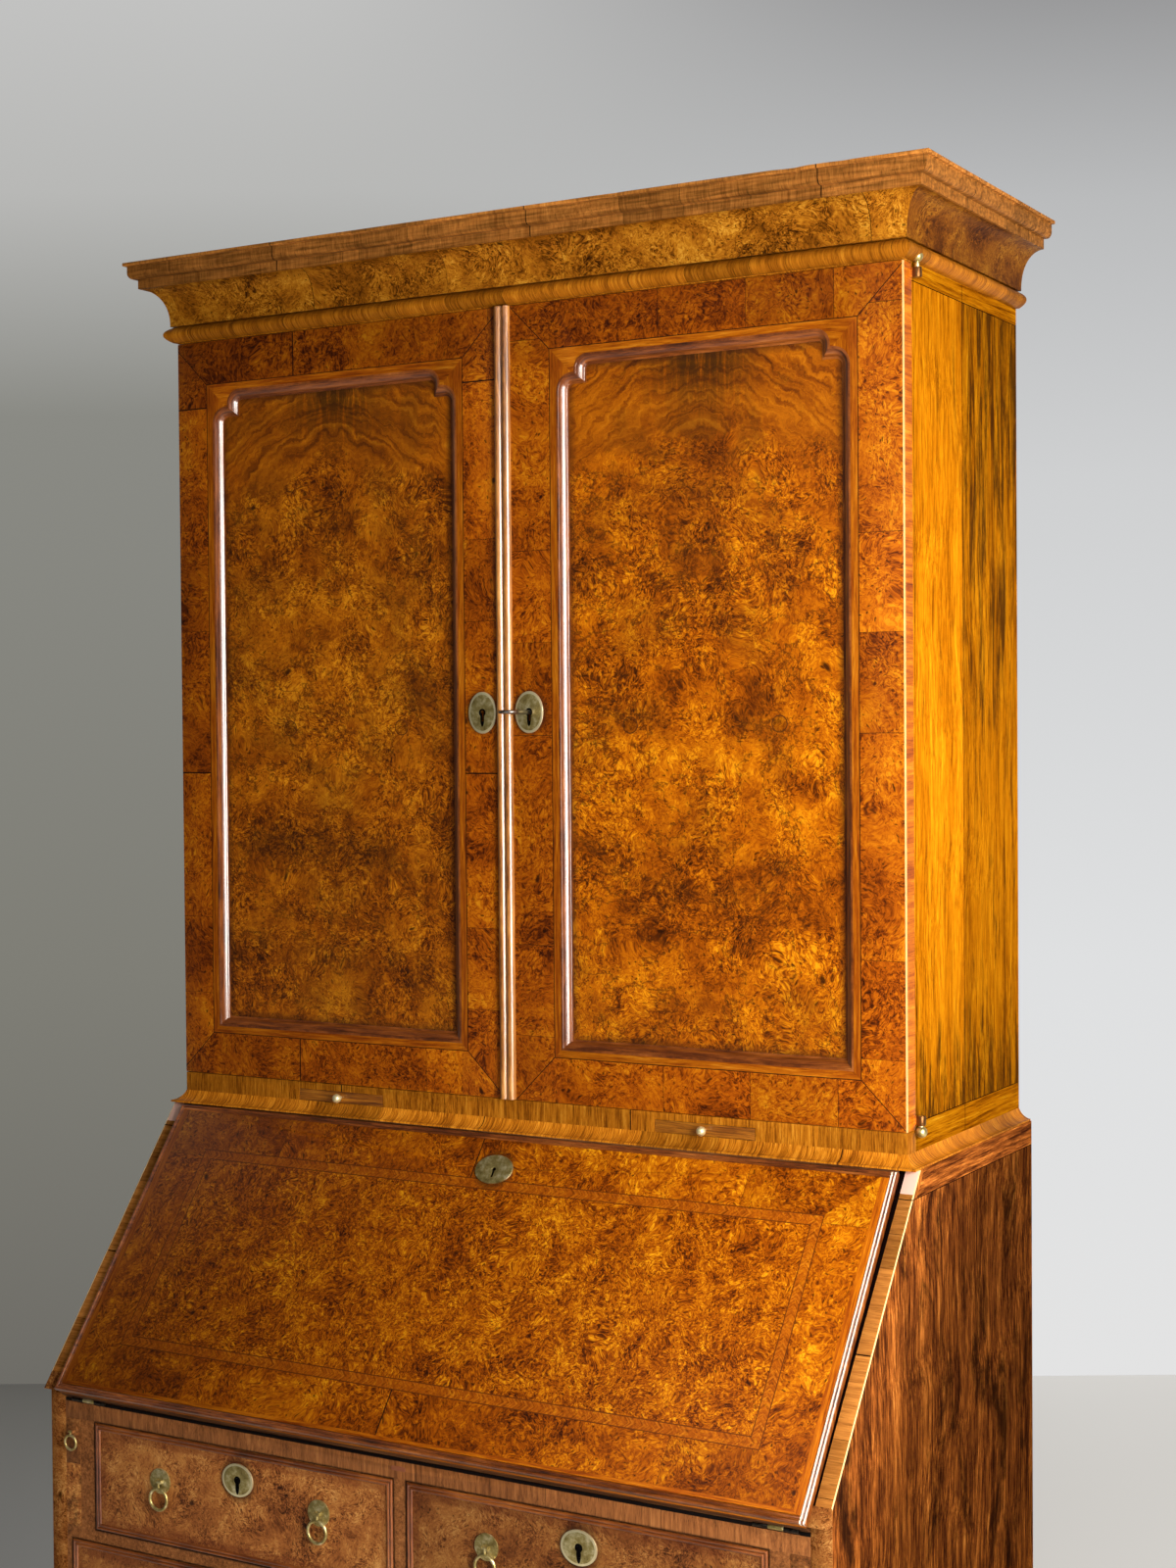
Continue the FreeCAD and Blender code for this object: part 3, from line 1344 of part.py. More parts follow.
def drawer_box(x, z, front_y, length, tails):
    """A drawer's front, dovetailed sides, back and bottom."""
    front_span = (f"{x[0]} + drawer_gap", f"{x[1]} - drawer_gap")
    height = (f"{z[0]} + drawer_gap / 2", f"{z[1]} - drawer_top_gap")
    root_y = f"{front_y} + drawer_front_thick"
    rear_y = f"{front_y} + {length}"
    front = board(front_span, (front_y, root_y), height)
    left = (front_span[0], f"{front_span[0]} + drawer_side_thick")
    right = (f"{front_span[1]} - drawer_side_thick", front_span[1])
    side_height = (height[0], f"{height[1]} - drawer_back_drop / 2")
    sides = []
    for span in (left, right):
        joints = []
        for i in range(tails):
            middle = f"({height[0]}) + (({side_height[1]}) - ({height[0]})) * {(i + 0.5) / tails}"
            joints.append(dovetail(span, middle, f"{front_y} + drawer_lap", root_y))
        sides.append(joined(board(span, (root_y, rear_y), side_height), *joints))
        front = cut(front, *joints)
    inside = (left[1], right[0])
    back_height = (height[0], f"{height[1]} - drawer_back_drop")
    back = board(inside, (f"{rear_y} - drawer_back_thick", rear_y), back_height)
    floor = (f"{height[0]} + drawer_bottom_lift", f"{height[0]} + drawer_bottom_lift + drawer_bottom_thick")
    bottom = board(inside, (root_y, f"{rear_y} - drawer_back_thick"), floor)
    return [front, *sides, back, bottom]


def make_drawer(name, x, z, pull_xs, pull_z, plate_x, plate_z, tails):
    """A drawer with its plates and escutcheon, and a ring for each plate."""
    node(f"{name}_drawer", *drawer_box(x, z, "face_y", "drawer_length", tails))
    sizes = ("pull_plate_radius", "pull_ring_radius", "pull_wire", "pull_drop")
    oval = ("drawer_escutcheon_half_width", "drawer_escutcheon_half_height")
    fixed = [escutcheon(plate_x, "face_y", plate_z, *oval)]
    for hand, pull_x in zip(("left", "right"), pull_xs):
        plate, loop = pull_parts(pull_x, "face_y", pull_z, *sizes)
        fixed.append(plate)
        node(f"{name}_ring_{hand}", loop)
    node(f"{name}_drawer_brasses", *fixed)


def make_drawers():
    """Two short drawers above two long ones."""
    row = ("top_row_z", "bed_z")
    spans = {
        "top_left": ("-top_drawer_outer_x", "divider_left_x"),
        "top_right": ("divider_right_x", "top_drawer_outer_x"),
    }
    for name, span in spans.items():
        middle = f"(({span[0]}) + ({span[1]})) / 2"
        pulls = (f"{middle} - pull_offset", f"{middle} + pull_offset")
        make_drawer(name, span, row, pulls, "pull_height", middle, "drawer_escutcheon_height", 3)
    long_span = ("-long_drawer_x", "long_drawer_x")
    lift = "(drawer_escutcheon_height - pull_height)"
    for name, place_name in (("upper_long", "upper_row"), ("lower_long", "lower_row")):
        low, high = f"{place_name}_z", f"{place_name}_top_z"
        middle = f"(({low}) + ({high})) / 2"
        pulls = ("-long_pull_offset", "long_pull_offset")
        make_drawer(name, long_span, (low, high), pulls, middle, "-divider_shift", f"{middle} + {lift}", 5)


def make_nest_drawers():
    """Two small drawers in the nest, with turned knobs."""
    height = ("writing_z + nest_thick", "nest_shelf_z")
    for name, index in (("right", 0), ("left", 1)):
        span = both("nest_centre_x + nest_thick", "nest_half - nest_thick")[index]
        pieces = drawer_box(span, height, "nest_front_y", "nest_depth - drawer_front_thick / 4", 1)
        middle = f"(({span[0]}) + ({span[1]})) / 2"
        knob_z = f"(({height[0]}) + ({height[1]})) / 2"
        ball_y = "nest_front_y - knob_neck - nest_knob_radius"
        neck = rod("knob_neck_radius", "y", (ball_y, "nest_front_y"), x=middle, z=knob_z)
        pieces.append(joined(neck, ball("nest_knob_radius", middle, ball_y, knob_z)))
        node(f"nest_drawer_{name}", *pieces)


def faults():
    """The objects that failed, and the sub-parts that hold no valid solid."""
    failed = [thing.Label for thing in document.Objects if {"Invalid", "Error"} & set(thing.State)]
    shapes = {thing.Label: thing.Shape for thing in NODES}
    empty = [name for name, shape in shapes.items() if not (shape.Solids and shape.isValid())]
    return failed + empty


def main():
    fill_sheet()
    make_bookcase_sides()
    make_bookcase_top()
    make_bookcase_base()
    make_bookcase_back()
    make_shelves()
    make_cornice()
    make_bureau_sides()
    make_desk_top()
    make_dust_boards()
    make_bureau_back()
    make_writing_bed()
    make_drawer_rails()
    make_drawer_dividers()
    make_waist_moulding()
    make_base_moulding()
    make_bracket_feet()
    make_pigeonholes()
    make_doors()
    make_candle_slides()
    make_fall()
    make_lopers()
    make_drawers()
    make_nest_drawers()
    document.recompute()
    found = faults()
    if found:
        raise RuntimeError("these did not build: " + ", ".join(found))
    os.makedirs("parts", exist_ok=True)
    for thing in NODES:
        thing.Shape.exportStep(f"parts/{thing.Label}.step")
    print(len(NODES), "sub-parts,", sum(len(thing.Shape.Solids) for thing in NODES), "solids")


main()
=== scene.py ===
"""Veneered walnut bureau bookcase: figured veneers, cross-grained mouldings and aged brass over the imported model."""

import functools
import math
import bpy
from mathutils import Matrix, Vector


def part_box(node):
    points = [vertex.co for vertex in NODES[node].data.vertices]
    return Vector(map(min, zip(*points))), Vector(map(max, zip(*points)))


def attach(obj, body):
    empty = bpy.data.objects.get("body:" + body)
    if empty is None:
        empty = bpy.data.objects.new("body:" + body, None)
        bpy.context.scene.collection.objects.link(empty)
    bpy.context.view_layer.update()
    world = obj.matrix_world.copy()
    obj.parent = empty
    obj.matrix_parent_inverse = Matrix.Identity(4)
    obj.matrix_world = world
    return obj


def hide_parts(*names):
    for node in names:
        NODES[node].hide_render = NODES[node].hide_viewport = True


bl_info = {
    "name": "Bureau Bookcase",
    "version": (1, 0, 0),
    "blender": (4, 5, 0),
    "location": "View3D > Sidebar > Bureau Bookcase",
    "description": "Dresses a bureau bookcase in figured walnut, cross-grained mouldings and brass",
    "category": "Object",
}

import bmesh
import bpy
import numpy as np
from bpy.props import FloatProperty, FloatVectorProperty, PointerProperty
from mathutils import Matrix, Vector

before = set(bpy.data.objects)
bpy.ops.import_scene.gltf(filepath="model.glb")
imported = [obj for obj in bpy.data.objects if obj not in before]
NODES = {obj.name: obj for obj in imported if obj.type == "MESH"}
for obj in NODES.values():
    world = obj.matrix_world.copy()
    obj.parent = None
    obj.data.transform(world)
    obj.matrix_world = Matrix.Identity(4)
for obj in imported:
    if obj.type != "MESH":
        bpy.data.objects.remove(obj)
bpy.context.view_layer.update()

# Places on the piece, in millimetres
CASE_X = 484.7
DOOR_Y = -45.5
PANEL_Y = -37.0
BACK_Y = 297.5
FACE_Y = -277.5
CASE_LOW = 1089.4
DOOR_LOW = 1127.0
DOOR_TOP = 2035.7
CORNICE_TOP = 2134.6
BUREAU_X = 500.0
FOOT_TOP = 118.0
WRITING_Z = 775.0
MEETING_LEFT = -16.6
BEAD_WIDTH = 20.0
LEFT_CENTRE = -251.05
RIGHT_CENTRE = 244.05
OPENING_HALF = 180.05
OPENING_LOW = 1187.2
OPENING_HIGH = 1973.8
OPENING_MIDDLE = (OPENING_LOW + OPENING_HIGH) / 2
OPENING_RISE = (OPENING_HIGH - OPENING_LOW) / 2
CORNER_LOWER, CORNER_UPPER, CORNER_STEP = 20.0, 17.0, 3.0
BAND_WIDTH, FEATHER_WIDTH = 8.7, 12.0
PLUG_RADIUS = 9.0
FALL_TURN, EDGE_SLANT = math.radians(51.9), math.radians(51.6)
FALL_LOW, FALL_HIGH = 0.6, 380.6
FALL_LOCK = 335.0
LOCK_Z = 1572.0
SEAM_Y = 122.0
BOARD_GAP, BOARD_COUNT = 1.0, 5
PLATE_HALF = 18.5
LEFT_LOCK_X, RIGHT_LOCK_X = -37.7, 25.6
# Keyholes in upright plates: middle across and up, half width and half height of the plate
ESCUTCHEONS = (
    (RIGHT_LOCK_X, LOCK_Z, 18.5, 24.0), (LEFT_LOCK_X, LOCK_Z, 18.5, 24.0), (-222.3, 717.0, 21.5, 18.5),
    (219.0, 717.0, 21.5, 18.5), (0.0, 525.5, 21.5, 18.5), (0.0, 287.5, 21.5, 18.5),
)
DRAWERS = ("top_left_drawer", "top_right_drawer", "upper_long_drawer", "lower_long_drawer")
LIP_HALF, LIP_LOW, FALL_THICK, FALL_BEAD = 480.0, 16.6, 22.8, 8.0
DRAWER_BEAD = 7.6

# How a figure is drawn out along each axis by grain that runs along x, y or z
GRAIN_X, GRAIN_Y, GRAIN_Z = (0.03, 1.0, 1.0), (1.0, 0.03, 1.0), (1.0, 1.0, 0.03)

# Colour of joints, and of the painted shadow round the keyhole plates
INK = "1C0D06"
# Wood colours, dark to light
BURR_FRAME = [(0.0, "260B01"), (0.25, "6A2B02"), (0.5, "A65005"), (0.75, "C56D08"), (1.0, "DF8F14")]
BURR_RIGHT = [(0.0, "220C01"), (0.25, "5A2602"), (0.5, "914703"), (0.75, "B56605"), (1.0, "D68C0E")]
BURR_LEFT = [(0.0, "1C0B02"), (0.25, "4C2003"), (0.5, "7C3E04"), (0.75, "9F5B08"), (1.0, "C07C12")]
BURR_FALL = [(0.0, "200A02"), (0.25, "5C2602"), (0.5, "8E4403"), (0.75, "B46605"), (1.0, "DC9612")]
BURR_DRAWER = [(0.0, "2A1307"), (0.25, "643618"), (0.5, "935729"), (0.75, "B07439"), (1.0, "C99252")]
BURR_CORNICE = [(0.0, "241003"), (0.25, "5C3206"), (0.5, "8E5310"), (0.75, "B0721A"), (1.0, "CC9230")]
FLOWING = [(0.0, "3A1803"), (0.3, "632C04"), (0.55, "8C4804"), (0.8, "A85F08"), (1.0, "BE7A14")]
SIDE_UPPER = [(0.0, "421E04"), (0.22, "824504"), (0.5, "BA6F08"), (0.78, "D88E10"), (1.0, "EEB02A")]
SIDE_LOWER = [(0.0, "100502"), (0.28, "341708"), (0.52, "5A2E10"), (0.78, "80481A"), (1.0, "A66A2C")]
CROSS_GOLD = [(0.0, "381A04"), (0.3, "733E08"), (0.6, "A46312"), (1.0, "C68A2A")]
CROSS_CROWN = [(0.0, "361E0A"), (0.3, "77461A"), (0.6, "A46A2E"), (1.0, "C8904C")]
CROSS_DULL = [(0.0, "2A160A"), (0.3, "5A3419"), (0.6, "7A4B26"), (1.0, "9A683A")]
RED_BEAD = [(0.0, "220C02"), (0.35, "582808"), (0.65, "7E4214"), (1.0, "A06028")]
BAND = [(0.0, "521F04"), (0.3, "8C4006"), (0.65, "B56509"), (1.0, "D68C24")]
SOLID = [(0.0, "22110A"), (0.35, "4A2B18"), (0.65, "6D4629"), (1.0, "8E6542")]


def corners(name):
    """The low and the high corner of a model piece's box, in millimetres."""
    return [np.array(corner) * 1000 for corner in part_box(name)]


# Colour and shader nodes


def linear(code):
    """A hex sRGB colour as scene-linear values: each channel is c/12.92 when small, else ((c+0.055)/1.055)^2.4."""
    channels = [int(code[i : i + 2], 16) / 255 for i in (0, 2, 4)]
    return (*[c / 12.92 if c <= 0.04045 else ((c + 0.055) / 1.055) ** 2.4 for c in channels], 1.0)


def add_node(tree, kind, *values, out=0, stops=None, **named):
    """Adds a node and returns one of its outputs, or the node itself when out is None.

    The kind is a shader node's short name or any node's full name, with its operation after a point. Values fill its
    inputs in order; a named one fills the input, or sets the property, of that name.
    """
    kind, _, operation = kind.partition(".")
    node = tree.nodes.new(kind if "Node" in kind else "ShaderNode" + kind)
    if operation:
        node.operation = operation
    properties = [key for key in named if hasattr(node, key)]
    for key in properties:
        setattr(node, key, named[key])
    filled = [(key, value) for key, value in named.items() if key not in properties]
    for key, value in [*enumerate(values), *filled]:
        if isinstance(value, bpy.types.NodeSocket):
            tree.links.new(value, node.inputs[key])
        else:
            node.inputs[key].default_value = linear(value) if isinstance(value, str) else value
    if stops:
        ramp = node.color_ramp
        while len(ramp.elements) < len(stops):
            ramp.elements.new(0.5)
        for element, (position, code) in zip(ramp.elements, stops):
            element.position = position
            element.color = linear(code)
    return node if out is None else node.outputs[out]


def blank(name):
    """A new material with an empty tree, and the function that adds nodes to it."""
    material = bpy.data.materials.new(name)
    material.use_nodes = True
    material.node_tree.nodes.clear()
    return material, functools.partial(add_node, material.node_tree)


def begin(name):
    """A new material, its adder of nodes, and the object's own coordinates in millimetres: spot, x, y and z."""
    material, add = blank(name)
    spot = add("VectorMath.SCALE", add("TexCoord", out="Object"), Scale=1000.0)
    return material, add, spot, *add("SeparateXYZ", spot, out=None).outputs


def finish(add, colour, height, roughness=0.42, coat=0.0, bump=0.12, metallic=0.0, gleam=0.12):
    """The surface and the output: colour, roughness and gleam, a coat of polish if there is one, and a shallow
    relief."""
    settings = {
        "Base Color": colour,
        "Roughness": roughness,
        "Metallic": metallic,
        "Specular IOR Level": gleam,
        "Coat Weight": coat,
        "Coat Roughness": 0.16,
        "Normal": add("Bump", Strength=bump, Distance=0.0006, Height=height),
    }
    add("OutputMaterial", add("BsdfPrincipled", **settings), out=None)


def moved(add, spot, shift):
    """The spot shifted by three fixed amounts, so that two woods never show the same figure."""
    return add("VectorMath.ADD", spot, shift)


def swayed(add, spot, wander):
    """The spot carried aside by a slow noise, so that grain wanders."""
    sway = add("TexNoise", Vector=spot, Scale=0.004, Detail=2.0)
    return add("VectorMath.ADD", spot, add("Math.MULTIPLY", sway, wander))


def warped(add, source, spot, scale, reach):
    """The spot pushed about in every direction by a soft noise read at a source."""
    push = add("TexNoise", out="Color", Vector=source, Scale=scale, Detail=2.0)
    push = add("VectorMath.SUBTRACT", push, (0.5, 0.5, 0.5))
    return add("VectorMath.MULTIPLY_ADD", push, (reach,) * 3, spot)


def patches(add, spot, scale, low, high, start, end, stretch=None, **settings):
    """A noise, drawn out if a stretch is given, as a mask that goes from start to end between two of its values."""
    if stretch:
        spot = add("VectorMath.MULTIPLY", spot, stretch)
    return add("MapRange", add("TexNoise", Vector=spot, Scale=scale, **settings), low, high, start, end)


def ramped(add, value, middle, contrast, stops):
    """A wood colour from a value about a middle, and the value itself spread over 0 to 1."""
    spread = 0.23 / contrast
    value = add("MapRange", value, middle - spread, middle + spread, 0.0, 1.0)
    return add("ValToRGB", value, stops=stops), value


def graded(add, colour, value, low, high, dark, light):
    """A colour scaled by a gain that runs from dark to light while a value runs from low to high."""
    return add("VectorMath.SCALE", colour, Scale=add("MapRange", value, low, high, dark, light))


def toned(add, colour, number, dark, light):
    """A colour made darker or lighter by a number from 0 to 1."""
    return graded(add, colour, number, 0.0, 1.0, dark, light)


def darkened(add, colour, mask, code=INK):
    """A colour with a dark one laid over it where the mask is 1."""
    return add("MixRGB", mask, colour, code)


def lined(add, colour, value, place, half, code=INK):
    """A colour with a thin line of another where a value comes within half a width of a place."""
    return add("MixRGB", add("Math.COMPARE", value, place, half), colour, code)


def beyond(add, value, place, colour, other):
    """The other colour where a value is greater than a place, and the first one elsewhere."""
    return add("MixRGB", add("Math.GREATER_THAN", value, place), colour, other)


def both(add, first, second):
    """One mask times another."""
    return add("Math.MULTIPLY", first, second)


def burr(add, spot, stops, size=1.0, contrast=1.0, clouds=None, depth=0.5, calm=0.45):
    """Burr figure: grain of a few millimetres bent into swirls over patches and soft clouds, with curls where a
    noise crosses whole steps, outlined by dark veins, pin knots of a millimetre and a few of four; here and there
    the figure calms down. Returns the colour and its value."""
    clouds = spot if clouds is None else clouds
    bent = warped(add, clouds, spot, 0.012 / size, 70.0 * size)
    curled = warped(add, bent, bent, 0.11 / size, 13.0 * size)
    cloud = add("TexNoise", Vector=clouds, Scale=0.01 / size, Detail=4.0)
    patch = add("TexNoise", Vector=bent, Scale=0.04 / size, Detail=3.0)
    grain = add("TexNoise", Vector=curled, Scale=0.19 / size, Detail=6.0, Roughness=0.72)
    swirl = add("TexNoise", Vector=curled, Scale=0.09 / size, Detail=2.0)
    curl = add("Math.PINGPONG", add("Math.MULTIPLY", swirl, 7.0), 0.5)
    lively = patches(add, bent, 0.021 / size, 0.4, 0.58, calm, 1.05, Detail=3.0)
    detail = add("Math.MULTIPLY_ADD", curl, 0.35, grain)
    detail = add("Math.SUBTRACT", detail, 0.5875)
    value = add("Math.MULTIPLY", patch, 0.35)
    value = add("Math.MULTIPLY_ADD", cloud, depth, value)
    value = add("Math.MULTIPLY_ADD", detail, lively, value)
    colour, value = ramped(add, value, 0.165 + 0.5 * depth, contrast, stops)
    pins = add("MapRange", add("TexVoronoi", Vector=curled, Scale=0.14 / size), 0.1, 0.24, 0.8, 0.0)
    knots = add("MapRange", add("TexVoronoi", Vector=bent, Scale=0.015), 0.035, 0.07, 0.9, 0.0)
    vein = both(add, add("MapRange", curl, 0.0, 0.05, 0.5, 0.0), lively)
    eye = add("Math.MAXIMUM", add("Math.MAXIMUM", pins, knots), vein)
    return darkened(add, colour, eye, stops[0][1]), value


def straight(add, spot, stops, stretch=GRAIN_Z, wander=12.0, pores=0.5, contrast=1.0, bands=0.45):
    """Straight figure: narrow streaks drawn out along the grain over weaker broad ones, bent by a slow wander,
    with long dark pores."""
    line = add("VectorMath.MULTIPLY", swayed(add, spot, wander), stretch)
    broad = add("TexNoise", Vector=line, Scale=0.05, Detail=3.0, Roughness=0.55)
    narrow = add("TexNoise", Vector=line, Scale=0.3, Detail=6.0, Roughness=0.75)
    value = add("Math.MULTIPLY_ADD", broad, bands, narrow)
    colour, value = ramped(add, value, 0.5 + 0.5 * bands, contrast, stops)
    vessels = patches(add, line, 1.1, 0.58, 0.68, 0.0, pores, Detail=2.0)
    return darkened(add, colour, vessels, stops[0][1]), value


def lengths(add, along, length, seed):
    """Veneer laid in lengths end to end: a number of its own for each length, 1 on the thin joints, and its count."""
    wave = add("Math.SINE", add("Math.MULTIPLY_ADD", along, 2.1 / length, seed))
    turns = add("Math.MULTIPLY_ADD", along, 1.0 / length, seed)
    turns = add("Math.MULTIPLY_ADD", wave, 0.3, turns)
    index = add("Math.FLOOR", turns)
    number = add("TexWhiteNoise", W=index, noise_dimensions="1D")
    joint = add("Math.COMPARE", add("Math.FRACT", turns), 0.0, 0.6 / length)
    return number, joint, index


def off_centre(add, across, up, centre, middle, half_width, half_height):
    """How far a point is from the middle line, and how far outside a rectangle: the distances across and up, and
    the larger of them."""
    mirrored = add("Math.ABSOLUTE", add("Math.SUBTRACT", across, centre))
    a = add("Math.SUBTRACT", mirrored, half_width)
    b = add("Math.ABSOLUTE", add("Math.SUBTRACT", up, middle))
    b = add("Math.SUBTRACT", b, half_height)
    return mirrored, a, b, add("Math.MAXIMUM", a, b)


def running(add, a, b, across, up):
    """Which way a border runs: 1 on its upright sides, and the place along the run."""
    upright = add("Math.GREATER_THAN", a, b)
    return upright, add("MixRGB", upright, across, up)


def round_case(add, x, y):
    """The run of a moulding round the bookcase: 1 on the case's sides, and the place along the run."""
    a = add("Math.SUBTRACT", add("Math.ABSOLUTE", x), CASE_X)
    b = add("Math.MULTIPLY_ADD", y, -1.0, DOOR_Y)
    return running(add, a, b, x, y)


def distance(add, spot, place):
    """How far a spot is from a place."""
    return add("VectorMath.LENGTH", add("VectorMath.SUBTRACT", spot, place), out="Value")


def painted_keyhole_shade(add, colour, spot, place):
    """A colour with painted shade: black behind a keyhole and under the plate round it, and a soft painted shadow
    round that plate.
    """
    reach = distance(add, spot, place)
    # Painted shadow: a soft dark ring round the plate
    colour = darkened(add, colour, add("MapRange", reach, 21.0, 28.0, 0.65, 0.0))
    # Painted shade: black in the keyhole and under the plate
    return darkened(add, colour, add("Math.LESS_THAN", reach, 11.0), "060302")


def dressed(add, figured, plain, y, front):
    """The figured veneer on what faces forward of a plane, and plain wood behind it."""
    return add("MixRGB", add("Math.LESS_THAN", y, front), plain, figured)


def crossband(add, spot, x, z, a, b, seed, length, stops, dark=0.8, light=1.1, mitre=0.7):
    """A burr border laid in lengths round a rectangle and mitred at its corners: its colour and value."""
    upright, along = running(add, a, b, x, z)
    number, joint, index = lengths(add, along, length, seed)
    slide = add("CombineXYZ", index, upright, index)
    spot = add("VectorMath.MULTIPLY_ADD", slide, (137.0, 411.0, 59.0), spot)
    colour, value = burr(add, spot, stops, size=1.15, contrast=0.85, calm=0.6)
    colour = darkened(add, toned(add, colour, number, dark, light), joint)
    return lined(add, colour, a, b, mitre), value


def shadowed(add, colour, x, z):
    """A colour with painted shadow in the gap round each drawer: two millimetres outside the drawers' fronts."""
    for name in DRAWERS:
        low, high = corners(name)
        middle, half = (low + high) / 2, (high - low) / 2
        *_, away = off_centre(add, x, z, middle[0], middle[2], half[0], half[2])
        colour = darkened(add, colour, add("MapRange", away, 1.2, 3.2, 0.9, 0.0), "120805")
    return colour


# Materials


def door_frame_wood(name, centre, seed, stops, lock_x):
    """Burr walnut crossband round each door, laid in lengths, with a straight-grained band inside it: the eye
    sees short blocks of swirling figure, each of another tone, against one clean orange line."""
    material, add, spot, x, y, z = begin(name)
    _, a, b, away = off_centre(add, x, z, centre, OPENING_MIDDLE, OPENING_HALF, OPENING_RISE)
    colour, value = crossband(add, moved(add, spot, (seed * 400, 0, 0)), x, z, a, b, seed, 150.0, stops)
    colour = graded(add, colour, z, OPENING_HIGH - 20.0, OPENING_HIGH + 20.0, 1.0, 0.72)
    _, along = running(add, a, b, x, z)
    band, _ = straight(add, add("CombineXYZ", away, y, along), BAND, stretch=(1.0, 1.0, 0.05))
    colour = add("MixRGB", add("Math.LESS_THAN", away, BAND_WIDTH), colour, band)
    colour = lined(add, colour, away, BAND_WIDTH, 0.5, "2A1307")
    # Painted light: the frame is darker toward the left and lighter toward the right, nearer the light
    colour = graded(add, colour, x, 30.0, 420.0, 0.64, 0.74)
    # Painted shade in the keyhole and a painted shadow round its plate
    colour = painted_keyhole_shade(add, colour, spot, (lock_x, DOOR_Y, LOCK_Z))
    # The door's own edge is crossbanded, and a pale painted highlight runs down its outer corner
    edge, _ = straight(add, spot, BAND, stretch=(0.05, 0.05, 1.0))
    colour = dressed(add, colour, edge, y, DOOR_Y + 1.5)
    outer = both(add, add("Math.COMPARE", x, CASE_X, 1.5), add("Math.LESS_THAN", y, DOOR_Y + 1.8))
    colour = add("MixRGB", both(add, outer, 0.7), colour, "F0BE7C")
    finish(add, colour, value, roughness=0.38)
    return material


def door_panel_wood(name, centre, seed, stops, plugs):
    """Book-matched burr walnut in a door's panel: soft clouds and thin dark lines mirrored at the middle under fine
    grain that isn't, a flowing, darker arch at the top, dark streaks at its crown and a few round plugs."""
    material, add, spot, x, y, z = begin(name)
    side = add("Math.SUBTRACT", x, centre)
    mirrored = add("Math.ABSOLUTE", side)
    shift = (seed * 530, 0, seed * 260)
    leaf = add("VectorMath.MULTIPLY_ADD", side, (0.22, 0.0, 0.08), add("CombineXYZ", mirrored, y, z))
    leaf = moved(add, leaf, shift)
    colour, value = burr(add, moved(add, spot, shift), stops, clouds=leaf, depth=0.43)
    line = add("TexNoise", Vector=leaf, Scale=0.013, Detail=6.0, Roughness=0.62)
    line = add("Math.FRACT", add("Math.MULTIPLY", line, 5.0))
    line = add("Math.ABSOLUTE", add("Math.SUBTRACT", line, 0.5))
    colour = darkened(add, colour, add("MapRange", line, 0.0, 0.07, 0.75, 0.0), "3A1A04")
    # The flowing arch: rings about a point far below the top, broken by noise
    ring = add("CombineXYZ", mirrored, 0.0, add("Math.SUBTRACT", z, OPENING_HIGH - 340.0))
    bend = add("TexNoise", out="Color", Vector=leaf, Scale=0.018, Detail=5.0, Roughness=0.6)
    ring = add("VectorMath.MULTIPLY_ADD", bend, (70.0, 0.0, 70.0), ring)
    ring = add("CombineXYZ", add("VectorMath.LENGTH", ring, out="Value"), 0.0, 0.0)
    ring = add("VectorMath.MULTIPLY_ADD", leaf, (0.16, 0.16, 0.16), ring)
    flow = patches(add, ring, 0.12, 0.28, 0.7, 0.0, 1.0, Detail=7.0, Roughness=0.72)
    lift = add("Math.MULTIPLY_ADD", mirrored, 0.3, z)
    waver = add("TexNoise", Vector=leaf, Scale=0.016, Detail=7.0, Roughness=0.7)
    lift = add("Math.MULTIPLY_ADD", waver, 150.0, lift)
    upper = add("MapRange", lift, OPENING_HIGH - 25.0, OPENING_HIGH + 5.0, 0.0, 0.85)
    colour = add("MixRGB", upper, colour, add("ValToRGB", flow, stops=FLOWING))
    # Dark streaks at the crown
    streak = patches(add, leaf, 0.16, 0.32, 0.52, 0.0, 0.85, (1.0, 1.0, 0.12), Detail=5.0, Roughness=0.7)
    near = add("MapRange", mirrored, 90.0, 20.0, 0.0, 1.0)
    high = add("MapRange", z, OPENING_HIGH - 105.0, OPENING_HIGH - 25.0, 0.0, 1.0)
    colour = darkened(add, colour, both(add, both(add, near, high), streak), "2A1A06")
    # Darker, greener clouds
    cloud = patches(add, leaf, 0.008, 0.5, 0.68, 0.0, 0.45, Detail=6.0, Roughness=0.68)
    colour = darkened(add, colour, cloud, "2E1A06")
    for plug_x, plug_z in plugs:
        reach = distance(add, spot, (plug_x, PANEL_Y, plug_z))
        inside = add("Math.LESS_THAN", reach, PLUG_RADIUS)
        colour = add("MixRGB", inside, colour, toned(add, colour, inside, 1.0, 0.68))
        colour = lined(add, colour, reach, PLUG_RADIUS, 0.6, "4A260C")
    # Painted shade: the panel darkens in the recess against the moulding
    *_, away = off_centre(add, x, z, centre, OPENING_MIDDLE, OPENING_HALF - 12, OPENING_RISE - 12)
    colour = darkened(add, colour, add("MapRange", away, -9.0, 0.0, 0.0, 0.6), "22100A")
    finish(add, colour, value, roughness=0.36)
    return material


